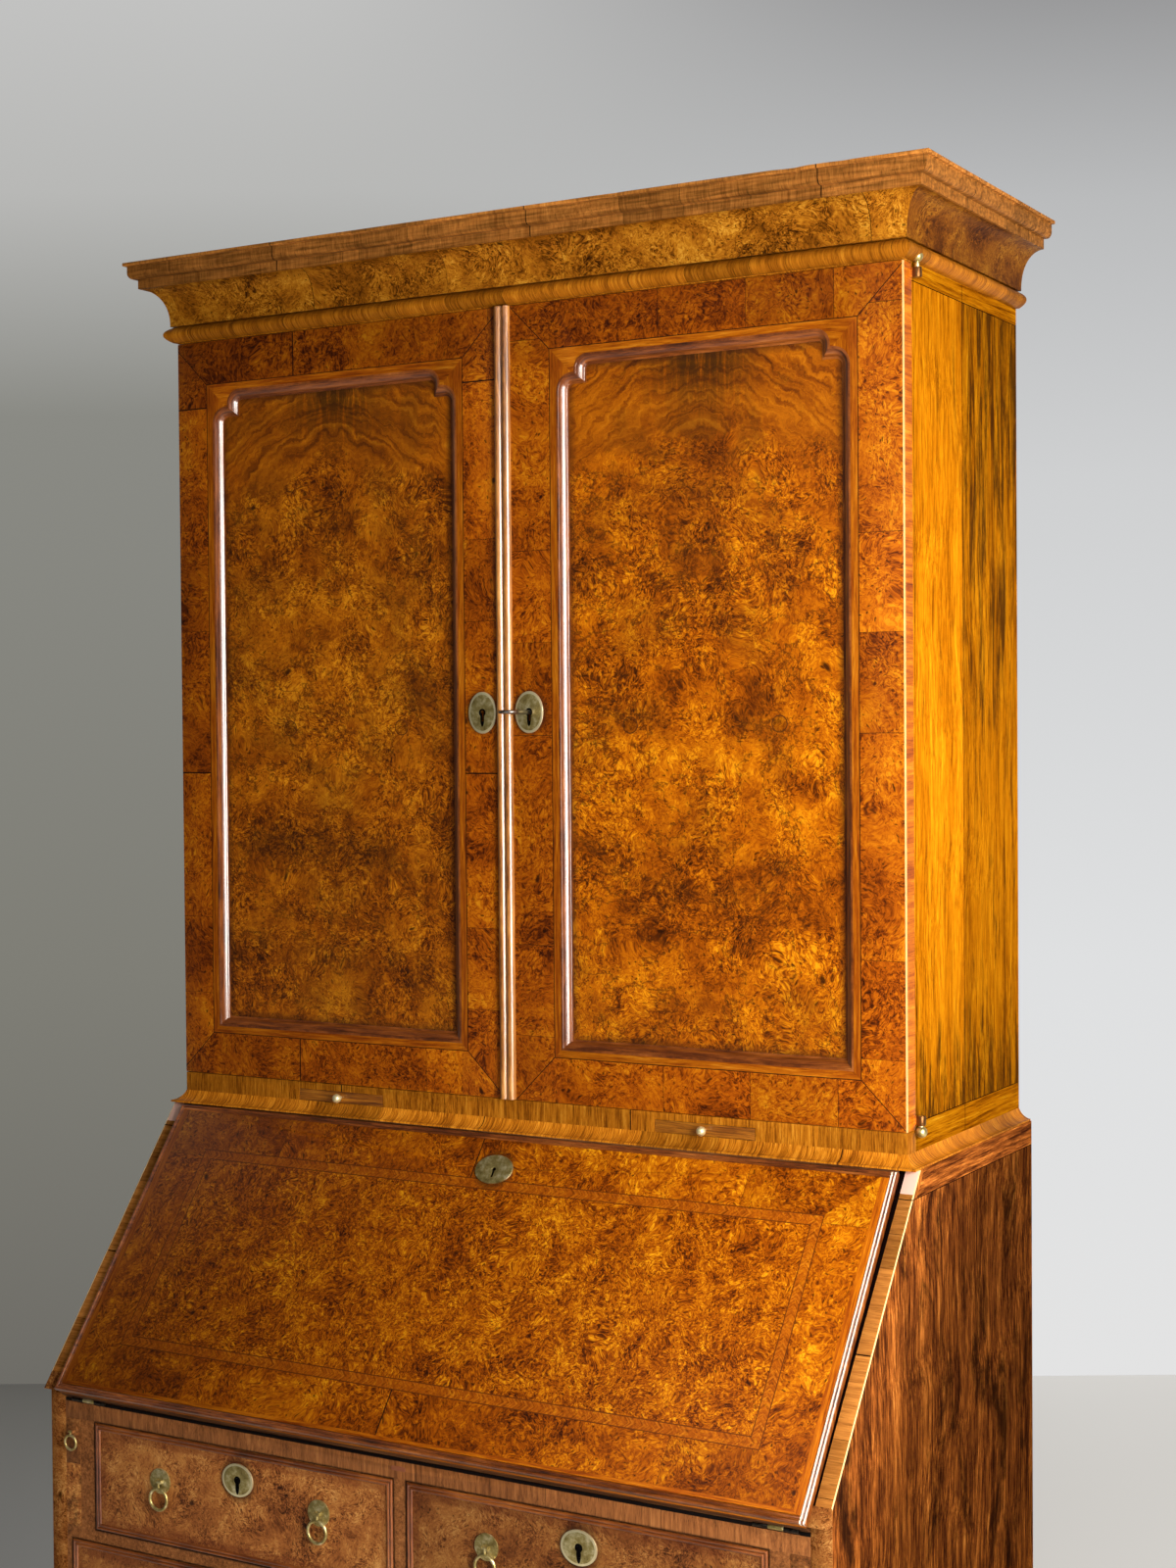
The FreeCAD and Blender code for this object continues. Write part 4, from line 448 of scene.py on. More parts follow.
def fall_wood():
    """Burr walnut on the fall inside a feather band and a crossband of the same burr: the brightest, orange wood
    of the piece, with a low gloss."""
    material, add, spot, x, *_ = begin("burr_walnut_fall_waxed")
    hinge = (0.0, FACE_Y, WRITING_Z)
    flat = add("VectorRotate", rotation_type="X_AXIS", Vector=spot, Center=hinge, Angle=-FALL_TURN)
    axes = add("SeparateXYZ", flat, out=None)
    s = add("Math.SUBTRACT", axes.outputs[1], FACE_Y)
    n = add("Math.SUBTRACT", axes.outputs[2], WRITING_Z)
    mirrored, a, b, away = off_centre(add, x, s, 0.0, 193.5, 412.0, 128.5)
    whole = add("CombineXYZ", x, n, s)
    shift = (900, 0, 300)
    clouds = moved(add, add("CombineXYZ", mirrored, n, s), shift)
    field, value = burr(add, moved(add, whole, shift), BURR_FALL, 0.85, 1.05, clouds, depth=0.26, calm=0.8)
    border = moved(add, whole, (1300, 0, 70))
    border, _ = crossband(add, border, x, s, a, b, 3.0, 260.0, BURR_FALL, dark=0.88, light=1.06, mitre=0.0)
    colour = add("MixRGB", add("Math.LESS_THAN", away, 0.0), border, field)
    # The feather band: slanted short grain, its slant turning over along the band's middle
    _, along = running(add, a, b, x, s)
    slant = add("Math.ABSOLUTE", add("Math.ADD", away, FEATHER_WIDTH / 2))
    slant = add("Math.MULTIPLY_ADD", slant, 1.0, along)
    feather = add("TexNoise", W=slant, Scale=0.3, Detail=4.0, noise_dimensions="1D")
    feather = add("ValToRGB", feather, stops=[(0.3, "6A2E04"), (0.55, "A05008"), (0.8, "C07418")])
    in_band = add("Math.COMPARE", away, -FEATHER_WIDTH / 2, FEATHER_WIDTH / 2)
    colour = add("MixRGB", both(add, in_band, 0.6), colour, feather)
    for edge in (-FEATHER_WIDTH, 0.0):
        colour = lined(add, colour, away, edge, 0.6, "5A2A08")
    # A plain band inside the reeded bead
    outer, _ = straight(add, add("CombineXYZ", away, n, along), BAND, stretch=(1.0, 1.0, 0.05))
    colour = beyond(add, away, 52.0, colour, outer)
    # Painted shade: the fall darkens toward the left, away from the light
    colour = graded(add, colour, x, -LIP_HALF, 330.0, 0.56, 0.95)
    # Painted shade in the keyhole and a painted shadow round its plate
    slope = (0.0, math.cos(FALL_TURN), math.sin(FALL_TURN))
    lift = (0.0, -FALL_THICK * slope[2], FALL_THICK * slope[1])
    colour = painted_keyhole_shade(add, colour, spot, tuple(p + FALL_LOCK * q + r for p, q, r in zip(hinge, slope, lift)))
    plain, _ = straight(add, spot, SOLID, stretch=GRAIN_X)
    colour = beyond(add, n, 12.0, plain, colour)
    finish(add, colour, value, roughness=0.36)
    return material


def case_side_wood():
    """Straight-grained walnut on the bookcase's sides: golden with thin dark lines, a darker board behind a joint,
    black streaks at the back and the foot, and a crossband at head and foot."""
    material, add, spot, _, y, z = begin("straight_walnut_case_side_waxed")
    band_low, band_high = 1134.0, 2018.0
    field, value = straight(add, spot, SIDE_UPPER, stretch=(1.0, 1.0, 0.05), wander=60.0, contrast=0.72, bands=0.5)
    bent = swayed(add, spot, 45.0)
    fine = patches(add, bent, 0.32, 0.55, 0.62, 0.0, 0.4, (1.0, 1.0, 0.03), Detail=3.0, Roughness=0.6)
    field = darkened(add, field, fine, "5E2C04")
    field = toned(add, field, add("Math.GREATER_THAN", y, SEAM_Y), 1.06, 0.76)
    # Black streaks gather behind the joint, most of them high up, and at the foot
    streak = add("VectorMath.MULTIPLY", spot, (1.0, 1.0, 0.1))
    streak = add("TexNoise", Vector=streak, Scale=0.07, Detail=7.0, Roughness=0.75, Distortion=0.4)
    rear = add("MapRange", y, SEAM_Y - 10, SEAM_Y + 10, 0.0, 0.12)
    rear = both(add, rear, add("MapRange", z, 1450.0, 1750.0, 0.3, 1.1))
    foot = add("MapRange", z, 1270.0, 1130.0, 0.0, 0.16)
    streak = add("Math.ADD", streak, add("Math.MAXIMUM", rear, foot))
    field = darkened(add, field, add("MapRange", streak, 0.56, 0.7, 0.0, 0.85), "2A1508")
    cross, _ = straight(add, spot, SIDE_UPPER, stretch=GRAIN_Y)
    ends = add("Math.MAXIMUM", add("Math.GREATER_THAN", z, band_high), add("Math.LESS_THAN", z, band_low))
    colour = add("MixRGB", ends, field, add("VectorMath.SCALE", cross, Scale=0.8))
    for height in (band_high, band_low):
        colour = lined(add, colour, z, height, 0.5)
    for depth in (-19.0, SEAM_Y):
        colour = lined(add, colour, y, depth, 0.6, "32180A")
    # The side darkens toward its head, and painted shade darkens it toward its foot
    head = add("MapRange", z, 1750.0, 2000.0, 0.87, 0.66)
    base = add("MapRange", z, 1130.0, 1450.0, 0.72, 1.0)
    colour = add("VectorMath.SCALE", colour, Scale=both(add, head, base))
    finish(add, colour, value, roughness=0.42, gleam=0.0, bump=0.3)
    return material


def bureau_side_wood():
    """Dark walnut on the bureau's sides: fine upright grain with knots, painted lighter and more orange toward the
    front, a crossband at the head and pale cross grain on the slanted edge, patched at its top, with a painted
    highlight along its arris and a painted shadow beside the fall."""
    material, add, spot, x, y, z = begin("dark_walnut_bureau_side_waxed")
    edge_low, band_low, patch_low = 792.0, 1062.0, 1067.0
    field, value = straight(add, spot, SIDE_LOWER, stretch=(1.0, 1.0, 0.06), wander=70.0, contrast=1.1)
    rough = {"Detail": 8.0, "Roughness": 0.74, "Distortion": 0.6}
    field = darkened(add, field, patches(add, spot, 0.018, 0.5, 0.62, 0.0, 0.85, (1.0, 1.0, 0.4), **rough), "140804")
    # How far behind the slanted edge a point lies
    behind = add("VectorMath.SUBTRACT", spot, (0.0, FACE_Y, WRITING_Z))
    behind = add("VectorMath.DOT_PRODUCT", behind, (0.0, math.sin(EDGE_SLANT), -math.cos(EDGE_SLANT)), out="Value")
    behind = add("Math.ADD", behind, 16.0)
    # Painted light: the side is painted lighter and more orange toward its front edge, nearer the light
    field = graded(add, field, behind, 10.0, 170.0, 1.85, 0.82)
    cross, _ = straight(add, spot, CROSS_CROWN, stretch=(0.05, 1.0, 1.0), wander=4.0, contrast=0.5, bands=0.2)
    number, joint, _ = lengths(add, z, 74.0, 1.3)
    cross = darkened(add, toned(add, cross, number, 0.9, 1.35), joint)
    cross = toned(add, cross, add("Math.GREATER_THAN", z, 1000.0), 1.0, 0.6)
    cross = beyond(add, z, patch_low, cross, "CFA898")
    reach = add("Math.ABSOLUTE", x)
    # Painted highlight: a pale line along the slanted edge's outer arris
    cross = lined(add, cross, reach, BUREAU_X, 1.0, "E8C486")
    # Painted shadow: black on the edge beside the fall, in the gap that the warped fall opens toward its top
    gap = add("MapRange", z, 850.0, 1060.0, BUREAU_X - 18.0, BUREAU_X - 15.5)
    cross = darkened(add, cross, add("Math.LESS_THAN", reach, gap), "0C0504")
    on_edge = both(add, add("Math.LESS_THAN", behind, 1.2), add("Math.GREATER_THAN", z, edge_low))
    colour = add("MixRGB", on_edge, field, cross)
    # The crossband along the top
    head, _ = straight(add, spot, SIDE_LOWER, stretch=(1.0, 0.05, 1.0))
    top = both(add, add("Math.GREATER_THAN", z, band_low), add("Math.GREATER_THAN", behind, 9.0))
    colour = add("MixRGB", top, colour, add("VectorMath.SCALE", head, Scale=1.7))
    colour = lined(add, colour, z, band_low, 0.5)
    front, _ = burr(add, moved(add, spot, (50, 0, 900)), BURR_DRAWER, size=0.6)
    colour = dressed(add, add("VectorMath.SCALE", front, Scale=0.7), colour, y, FACE_Y + 1.2)
    finish(add, colour, value, roughness=0.44, gleam=0.0, bump=0.3)
    return material


def cross_wood(name, stops, length, seed, dark=0.86, light=1.08, contrast=0.75):
    """Cross-grained walnut laid in short lengths: fine upright lines across the run and a thin joint every
    hand's breadth, each length of its own tone."""
    material, add, _, x, y, z = begin(name)
    _, along = round_case(add, x, y)
    number, joint, index = lengths(add, along, length, seed)
    grain = add("CombineXYZ", along, index, z)
    colour, value = straight(add, grain, stops, stretch=(1.9, 37.0, 0.1), wander=1.5, contrast=contrast, bands=0.3)
    colour = darkened(add, toned(add, colour, number, dark, light), joint)
    finish(add, colour, value, roughness=0.4, gleam=0.05)
    return material


def bed_wood():
    """Cross-grained walnut on the edge of the writing bed: dull brown upright grain, a small red peg that stands
    proud of it, and a painted shadow: black along its top, in the slit that the fall leaves."""
    material, add, spot, x, y, z = begin("cross_walnut_bed_waxed")
    number, joint, index = lengths(add, x, 205.0, 4.2)
    grain = add("CombineXYZ", x, index, z)
    colour, value = straight(add, grain, CROSS_DULL, stretch=(1.0, 37.0, 0.05), wander=3.0, contrast=0.75, bands=0.2)
    colour = darkened(add, toned(add, colour, number, 1.2, 1.5), joint)
    # Painted shadow: black along the top, in the slit under the fall
    colour = beyond(add, z, WRITING_Z - 3.6, colour, "0A0605")
    colour = add("MixRGB", add("Math.LESS_THAN", y, FACE_Y - 0.15), colour, "7E4A32")
    # Painted shadow in the gaps round the drawers
    colour = shadowed(add, colour, x, z)
    plain, _ = straight(add, spot, SOLID, stretch=GRAIN_X)
    finish(add, dressed(add, colour, plain, y, FACE_Y + 1.5), value, roughness=0.45)
    return material


def rail_wood():
    """Cross-grained walnut on the strips between the drawers, planed flush: brown short grain, with a plain dark
    wood behind the face and burr below the lopers."""
    material, add, spot, x, y, z = begin("cross_walnut_rails_waxed")
    grain, value = straight(add, spot, CROSS_DULL, stretch=(1.0, 1.0, 1.0), contrast=0.9, bands=0.3)
    block, _ = burr(add, moved(add, spot, (31, 0, 12)), BURR_DRAWER, size=0.7)
    under = add("Math.GREATER_THAN", add("Math.ABSOLUTE", x), 455.0)
    high = add("Math.GREATER_THAN", z, 626.0)
    colour = add("MixRGB", both(add, under, high), add("VectorMath.SCALE", grain, Scale=1.25), block)
    stain = patches(add, spot, 0.05, 0.5, 0.62, 0.0, 0.7, Detail=5.0, Roughness=0.7)
    colour = darkened(add, colour, both(add, stain, under), "24130A")
    # Painted shadow in the gaps round the drawers
    colour = shadowed(add, colour, x, z)
    plain, _ = straight(add, spot, SOLID, stretch=GRAIN_X)
    finish(add, dressed(add, colour, plain, y, FACE_Y + 1.5), value, roughness=0.42)
    return material


def slide_wood():
    """Walnut candle slides with a little more red than the rail round them, and the small brass knob on each."""
    material, add, spot, _, y, _ = begin("walnut_candle_slide_with_brass_knob")
    colour, value = straight(add, spot, CROSS_GOLD, stretch=(0.04, 1.0, 1.0))
    knob = add("Math.LESS_THAN", y, DOOR_Y - 0.8)
    colour = add("MixRGB", knob, add("VectorMath.SCALE", colour, Scale=0.8), "E2D3A0")
    finish(add, colour, value, roughness=0.36, metallic=both(add, knob, 0.7), gleam=0.5)
    return material


def cornice_wood():
    """Burr walnut bent round the cavetto in lengths, under a cross-grained crown: golden brown, with a thin
    joint between the lengths, painted shade on the cove's sides and toward its left, and the crown lighter
    along its top above a step."""
    material, add, spot, x, y, z = begin("burr_walnut_cornice_waxed")
    on_side, along = round_case(add, x, y)
    number, joint, index = lengths(add, along, 240.0, 0.4)
    shift = add("CombineXYZ", index, 0.0, index)
    leaf = add("VectorMath.MULTIPLY_ADD", shift, (211.0, 0.0, 83.0), spot)
    cove, value = burr(add, leaf, BURR_CORNICE, size=0.9)
    cove = darkened(add, toned(add, cove, number, 0.84, 1.08), joint)
    # Painted shade: the cove darkens on the case's sides
    cove = darkened(add, cove, both(add, on_side, 0.5), "341002")
    # Painted shade: the cove darkens toward the left, away from the light
    cove = graded(add, cove, x, -CASE_X, 100.0, 0.7, 0.88)
    number, joint, index = lengths(add, along, 118.0, 2.7)
    grain = add("CombineXYZ", along, index, z)
    crown, _ = straight(add, grain, CROSS_CROWN, stretch=(1.0, 37.0, 0.05), wander=3.0, contrast=0.5, bands=0.1)
    dust = add("VectorMath.MULTIPLY", spot, (0.02, 0.2, 0.3))
    dust = add("TexNoise", Vector=dust, Detail=5.0, Scale=1.0)
    crown = graded(add, crown, dust, 0.35, 0.65, 0.5, 1.15)
    crown = toned(add, crown, add("Math.GREATER_THAN", z, CORNICE_TOP - 4.5), 0.85, 1.25)
    crown = darkened(add, toned(add, crown, number, 0.75, 1.1), joint)
    finish(add, beyond(add, z, 2103.0, cove, crown), value, roughness=0.38, gleam=0.03)
    return material


def plain_wood(name, stops, stretch, gloss=0.5):
    """Plain wood with its grain along one direction, oiled rather than polished."""
    material, add, spot, *_ = begin(name)
    colour, value = straight(add, spot, stops, stretch=stretch)
    finish(add, colour, value, roughness=gloss)
    return material


def drawer_wood(name, low, high, hole_z):
    """Burr walnut on a drawer's front, pinkish brown, redder near its edge, with painted shade black behind the
    keyhole and a painted shadow round its plate; the box behind is plain oak."""
    material, add, spot, x, y, z = begin(name)
    front, value = burr(add, moved(add, spot, (hole_z, 0, 40)), BURR_DRAWER, size=0.8)
    middle, half = (low + high) / 2, (high - low) / 2 - 15
    *_, away = off_centre(add, x, z, middle[0], middle[2], half[0], half[2])
    front = darkened(add, front, add("MapRange", away, -2.0, 1.0, 0.0, 0.45), "6A3218")
    front = graded(add, front, x, -CASE_X, 200.0, 1.08, 0.6)
    # Painted shade in the keyhole and a painted shadow round its plate
    front = painted_keyhole_shade(add, front, spot, (middle[0], FACE_Y, hole_z))
    plain, _ = straight(add, spot, SOLID, stretch=GRAIN_Y)
    finish(add, dressed(add, front, plain, y, FACE_Y + 1.5), value, roughness=0.4)
    return material


def bead_wood(name, stops, gloss=0.3, rubbed_x=900.0):
    """Walnut beads rubbed smooth: reddish, with grain along the run, under a polish that takes a bright line where
    the crown faces the light. Beyond a place across, the crests carry a painted highlight, almost white."""
    material, add, spot, x, *_ = begin(name)
    colour, value = straight(add, spot, stops, stretch=(0.05, 1.0, 0.05), pores=0.3)
    # Painted highlight: the reeds' crests beyond a place across are painted almost white
    reed = add("MapRange", x, rubbed_x, rubbed_x + FALL_BEAD / 2, 0.0, 1.0, clamp=False)
    crest = add("Math.COMPARE", add("Math.FRACT", reed), 0.45, 0.24)
    rubbed = both(add, add("Math.GREATER_THAN", x, rubbed_x), crest)
    colour = add("MixRGB", rubbed, colour, "EEDCCB")
    finish(add, colour, value, roughness=gloss, coat=1.0, bump=0.05, gleam=0.4)
    return material


def plate_painted_rim_and_keyhole(add, colour, flat, across, up, half_width, half_height):
    """The brass of an oval plate: a painted highlight along the rim, and painted shade: a black keyhole drawn longer
    than the real one.
    """
    offset = add("VectorMath.SUBTRACT", flat, (across, 0.0, up))
    oval = add("VectorMath.MULTIPLY", offset, (1 / half_width, 0.0, 1 / half_height))
    # Painted highlight along the rim
    rim = add("Math.COMPARE", add("VectorMath.LENGTH", oval, out="Value"), 0.94, 0.07)
    colour = add("MixRGB", both(add, rim, 0.75), colour, "FFF2C4")
    # Painted shade: a keyhole drawn black, longer than the real one
    slot = add("VectorMath.MULTIPLY", moved(add, offset, (0.0, 0.0, 7.0)), (1 / 2.7, 0.0, 1 / 9.0))
    slot = add("Math.LESS_THAN", add("VectorMath.LENGTH", slot, out="Value"), 1.0)
    hole = add("Math.LESS_THAN", add("VectorMath.LENGTH", offset, out="Value"), 4.6)
    return darkened(add, colour, add("Math.MAXIMUM", hole, slot), "060403")


def brass(name, plates):
    """Cast brass, lacquer long gone: olive gold under a thin film, brighter on the rubbed faces and brown in the
    hollows. Where it covers the plates, the hinges' own on the case's sides have gone as brown as the wood."""
    material, add, spot, x, _, z = begin(name)
    wear = add("TexNoise", Vector=spot, Scale=0.11, Detail=5.0, Roughness=0.65)
    colour = add("ValToRGB", wear, stops=[(0.3, "7A6838"), (0.5, "B4A264"), (0.7, "F0E4B4")])
    rough = add("MapRange", wear, 0.3, 0.7, 0.46, 0.3)
    metal = 0.85
    if plates:
        reach = add("Math.ABSOLUTE", x)
        hinge = add("Math.COMPARE", reach, CASE_X + 1.0, 1.3)
        wood, _ = straight(add, spot, BAND, stretch=(0.05, 0.05, 1.0))
        colour = beyond(add, reach, CASE_X + 2.3, add("MixRGB", hinge, colour, wood), "6A4420")
        flat = add("CombineXYZ", x, 0.0, z)
        # Painted highlight round each escutcheon's rim and painted shade in its keyhole
        for plate in ESCUTCHEONS:
            colour = plate_painted_rim_and_keyhole(add, colour, flat, *plate)
        metal = add("Math.MULTIPLY_ADD", hinge, -metal, metal)
    fine = add("TexNoise", Vector=spot, Scale=1.7, Detail=3.0)
    finish(add, colour, fine, roughness=rough, bump=0.06, metallic=metal, gleam=0.5)
    return material


def iron(name, dark, light):
    """Steel of the key, the bolts and the hinges, filed and rubbed: grey with brown rust in its pits."""
    material, add, spot, *_ = begin(name)
    rust = add("TexNoise", Vector=spot, Scale=0.2, Detail=5.0)
    colour = add("ValToRGB", rust, stops=[(0.35, dark), (0.6, light)])
    finish(add, colour, rust, roughness=0.34, bump=0.05, metallic=1.0, gleam=0.5)
    return material


# Meshes


def solid_mesh(name, blocks, angle=35.0):
    """One closed mesh from grids of points in millimetres.

    Each grid is an array of sections, points round a section, and axes. A section closes on itself; a grid that
    isn't a loop is capped at both ends. Points that coincide are joined and the faces turned outward.
    """
    verts, faces, base = [], [], 0
    for grid, loop in blocks:
        n, m = grid.shape[:2]
        verts.append(grid.reshape(-1, 3))
        rows = np.arange(n if loop else n - 1)[:, None]
        cols = np.arange(m)[None, :]
        near, far = rows * m, (rows + 1) % n * m
        quads = np.stack([near + cols, far + cols, far + (cols + 1) % m, near + (cols + 1) % m], -1)
        faces += (quads.reshape(-1, 4) + base).tolist()
        if not loop:
            faces += [(np.arange(m) + base).tolist(), (np.arange(m)[::-1] + base + (n - 1) * m).tolist()]
        base += n * m
    mesh = bpy.data.meshes.new(name)
    mesh.from_pydata(np.concatenate(verts) / 1000, [], faces)
    work = bmesh.new()
    work.from_mesh(mesh)
    bmesh.ops.remove_doubles(work, verts=work.verts, dist=1e-6)
    bmesh.ops.recalc_face_normals(work, faces=work.faces)
    work.to_mesh(mesh)
    work.free()
    mesh.shade_smooth()
    mesh.set_sharp_from_angle(angle=math.radians(angle))
    piece = bpy.data.objects.new(name, mesh)
    bpy.context.scene.collection.objects.link(piece)
    return piece


def arc(start, end, rise, count):
    """Points on a shallow arc from start to end that bulges by rise to the left of the way; ends included."""
    start, end = np.array(start, float), np.array(end, float)
    t = np.linspace(0, 1, count)[:, None]
    chord = end - start
    left = np.array([-chord[1], chord[0]]) / np.hypot(*chord)
    return start + chord * t + left * rise * 4 * t * (1 - t)


def wave(along, size, seed):
    """A hand-planed unevenness: the mean of four sine waves of lengths near 90 to 420 mm, times size."""
    phases = np.random.default_rng(seed).uniform(0, 2 * math.pi, 4)
    pitches = np.array([91.0, 163.0, 257.0, 419.0])
    return size * np.sin(along[..., None] * 2 * math.pi / pitches + phases).mean(-1)


def run_round(profile, half, front, rear, seed, waver, chips):
    """Grids of a moulding along the left side, the front and the right side, mitred at the corners.

    A point of the profile is a projection and a height. The projection is eased in and out along the run by the
    unevenness, and cut back by each chip, a place on the front, a half width, a depth and a lowest height.
    """
    reach, height = np.array(profile, float).T
    blocks = []
    for start, end, out, side in (
        ((-half, rear), (-half, front), (-1, 0), -1),
        ((-half, front), (half, front), (0, -1), 0),
        ((half, front), (half, rear), (1, 0), 1),
    ):
        start, end, out = np.array(start, float), np.array(end, float), np.array(out, float)
        count = max(int(np.hypot(*(end - start)) / 12), 8)
        t = np.linspace(0, 1, count)[:, None]
        along = start[None, :] + (end - start)[None, :] * t
        ease = np.minimum(np.minimum(t * count, (1 - t) * count) / 3, 1.0)[:, 0]
        run = along[:, 0] if side == 0 else along[:, 1]
        shrink = wave(run, waver, seed + side) * ease
        push = reach[None, :] + np.where(reach[None, :] > 0.5, shrink[:, None] - waver * ease[:, None], 0.0)
        if side == 0:
            for place, width, depth, low in chips:
                bite = depth * np.exp(-(((run[:, None] - place) / width) ** 2)) * (height[None, :] > low)
                push = push - np.where(reach[None, :] > 0.5, bite, 0.0)
        grow = np.stack([push * 0, push * 0], -1) + out * push[..., None]
        # The ends lie on the mitre: a point further out runs on by its own reach
        stretch = np.zeros_like(grow)
        way = (end - start) / np.hypot(*(end - start))
        if side >= 0:
            stretch -= way * (push * (1 - t))[..., None]
        if side <= 0:
            stretch += way * (push * t)[..., None]
        flat = along[:, None, :] + grow + stretch
        blocks.append((np.concatenate([flat, np.broadcast_to(height, push.shape)[..., None]], -1), False))
    return blocks


def upright_run(section, start, end, seed):
    """An upright bar's grid from its section across and back, and how far its face waves along its length: the
    wave above its lowest value, eased to nothing at both ends."""
    section = np.array(section, float)
    along = np.linspace(start, end, max(int(abs(end - start) / 14.0), 2))
    shift = wave(along, 0.12, seed)
    shift = (shift - shift.min()) * np.minimum(1.0, np.minimum(along - start, end - along) / 30.0)
    grid = np.empty((len(along), len(section), 3))
    grid[..., :2] = section
    grid[..., 2] = along[:, None]
    return grid, shift


def shaped_loop(centre, inset):
    """The shaped outline of a door panel at an inset: foot, sides, and two quarter rounds at each top corner."""
    right = centre + OPENING_HALF
    size = CORNER_LOWER + CORNER_STEP + CORNER_UPPER
    shoulder = OPENING_HIGH - size
    turn = np.linspace(0, math.pi / 2, 9)
    low = CORNER_LOWER - inset
    high = CORNER_UPPER - inset
    lower = np.stack([right - CORNER_LOWER + low * np.cos(turn), shoulder + low * np.sin(turn)], -1)
    ledge = shoulder + low
    cusp = right - CORNER_LOWER - CORNER_STEP - inset
    spring = OPENING_HIGH - CORNER_UPPER
    upper = np.stack([right - size + high * np.cos(turn), spring + high * np.sin(turn)], -1)
    half = [[(right - inset, OPENING_LOW + inset)], lower, [(cusp, ledge)], upper]
    side = np.concatenate([np.array(part, float) for part in half])
    other = side[::-1].copy()
    other[:, 0] = 2 * centre - other[:, 0]
    return np.concatenate([side, other])


def densified(loop, base, step):
    """A closed line with extra points in each stretch that is long in its base line, the line at no inset."""
    spans = np.hypot(*(np.roll(base, -1, axis=0) - base).T)
    parts = np.maximum(spans // step, 1).astype(int)
    after = np.roll(loop, -1, axis=0)
    index = np.repeat(np.arange(len(loop)), parts)
    first = np.concatenate([[0], np.cumsum(parts)[:-1]])
    t = ((np.arange(parts.sum()) - np.repeat(first, parts)) / np.repeat(parts, parts))[:, None]
    return loop[index] * (1 - t) + after[index] * t


def ringed(name, outline, section, lay, angle=50.0):
    """A moulding carried round a closed outline: for each inset and height of its section, the outline at that
    inset, with extra points in its long stretches, laid in space by a function of its points and the height."""
    rows = [lay(densified(outline(inset), outline(0.0), 40.0), height) for inset, height in section]
    return solid_mesh(name, [(np.stack(rows, 1), True)], angle)


def upright_lay(loop, y):
    """Points of an outline across and up, set on the upright plane at y."""
    return np.stack([loop[:, 0], np.full(len(loop), y), loop[:, 1]], -1)


def sloping_lay(loop, n):
    """Points of an outline across and up the slope, lifted by n from the fall's inner plane and turned with it."""
    s = loop[:, 1]
    y = FACE_Y + s * math.cos(FALL_TURN) - n * math.sin(FALL_TURN)
    z = WRITING_Z + s * math.sin(FALL_TURN) + n * math.cos(FALL_TURN)
    return np.stack([loop[:, 0], y, z], -1)


def rectangle(low, high, inset):
    """An oblong outline between two corners, each a place across and up, at an inset."""
    (left, foot), (right, top) = (low[0] + inset, low[1] + inset), (high[0] - inset, high[1] - inset)
    return np.array([(left, foot), (right, foot), (right, top), (left, top)])


def reeds(start, width, level, rise, count, foot):
    """The section of two beads side by side: two shallow arcs at a level, closed down to a foot."""
    middle, end = start + width / 2, start + width
    first = arc((start, level), (middle, level), rise, count).tolist()
    second = arc((middle, level), (end, level), rise, count).tolist()
    return [(start, foot), *first, *second[1:], (end, foot)]


# Putting materials and pieces in place


def modifier_tree(name):
    """A new modifier tree, the function that adds nodes to it, and the geometry that enters it."""
    group = bpy.data.node_groups.new(name, "GeometryNodeTree")
    for way in ("INPUT", "OUTPUT"):
        group.interface.new_socket("Geometry", in_out=way, socket_type="NodeSocketGeometry")
    add = functools.partial(add_node, group)
    return group, add, add("NodeGroupInput")


def joined_tree(planed):
    """A modifier tree that joins points that coincide and, if planed, takes off what stands proud of the face."""
    group, add, shape = modifier_tree("Joined and planed" if planed else "Joined")
    shape = add("GeometryNodeMergeByDistance", shape, Distance=1e-5)
    if planed:
        axes = add("SeparateXYZ", add("GeometryNodeInputPosition"), out=None)
        y = add("Math.MAXIMUM", axes.outputs[1], FACE_Y / 1000)
        place = add("CombineXYZ", axes.outputs[0], y, axes.outputs[2])
        shape = add("GeometryNodeSetPosition", shape, Position=place)
    add("NodeGroupOutput", shape, out=None)
    return group


def shaded_tree():
    """A modifier tree that shades faces smoothly, but for the edges that turn by more than 24 degrees or that
    several boards share."""
    group, add, shape = modifier_tree("Shaded by angle")
    shape = add("GeometryNodeSetShadeSmooth", shape)
    turn = add("GeometryNodeInputMeshEdgeAngle")
    turned = add("FunctionNodeCompare.GREATER_THAN", turn, math.radians(24))
    faces = add("GeometryNodeInputMeshEdgeNeighbors")
    shared = add("FunctionNodeCompare.GREATER_THAN", faces, 2.5)
    sharp = add("FunctionNodeBooleanMath.OR", turned, shared)
    shape = add("GeometryNodeSetShadeSmooth", shape, sharp, False, domain="EDGE")
    add("NodeGroupOutput", shape, out=None)
    return group


def soften(piece, width, segments, planed):
    """Joins a model piece's loose faces, rounds its worn edges and evens its shading."""
    name = "Joined and planed" if planed else "Joined"
    join = piece.modifiers.new("Joined", "NODES")
    join.node_group = bpy.data.node_groups.get(name) or joined_tree(planed)
    if width:
        bevel = piece.modifiers.new("Worn edges", "BEVEL")
        bevel.width = width
        bevel.segments = segments
        bevel.limit_method = "ANGLE"
        bevel.angle_limit = math.radians(40)
    shade = piece.modifiers.new("Even shading", "NODES")
    shade.node_group = bpy.data.node_groups.get("Shaded by angle") or shaded_tree()


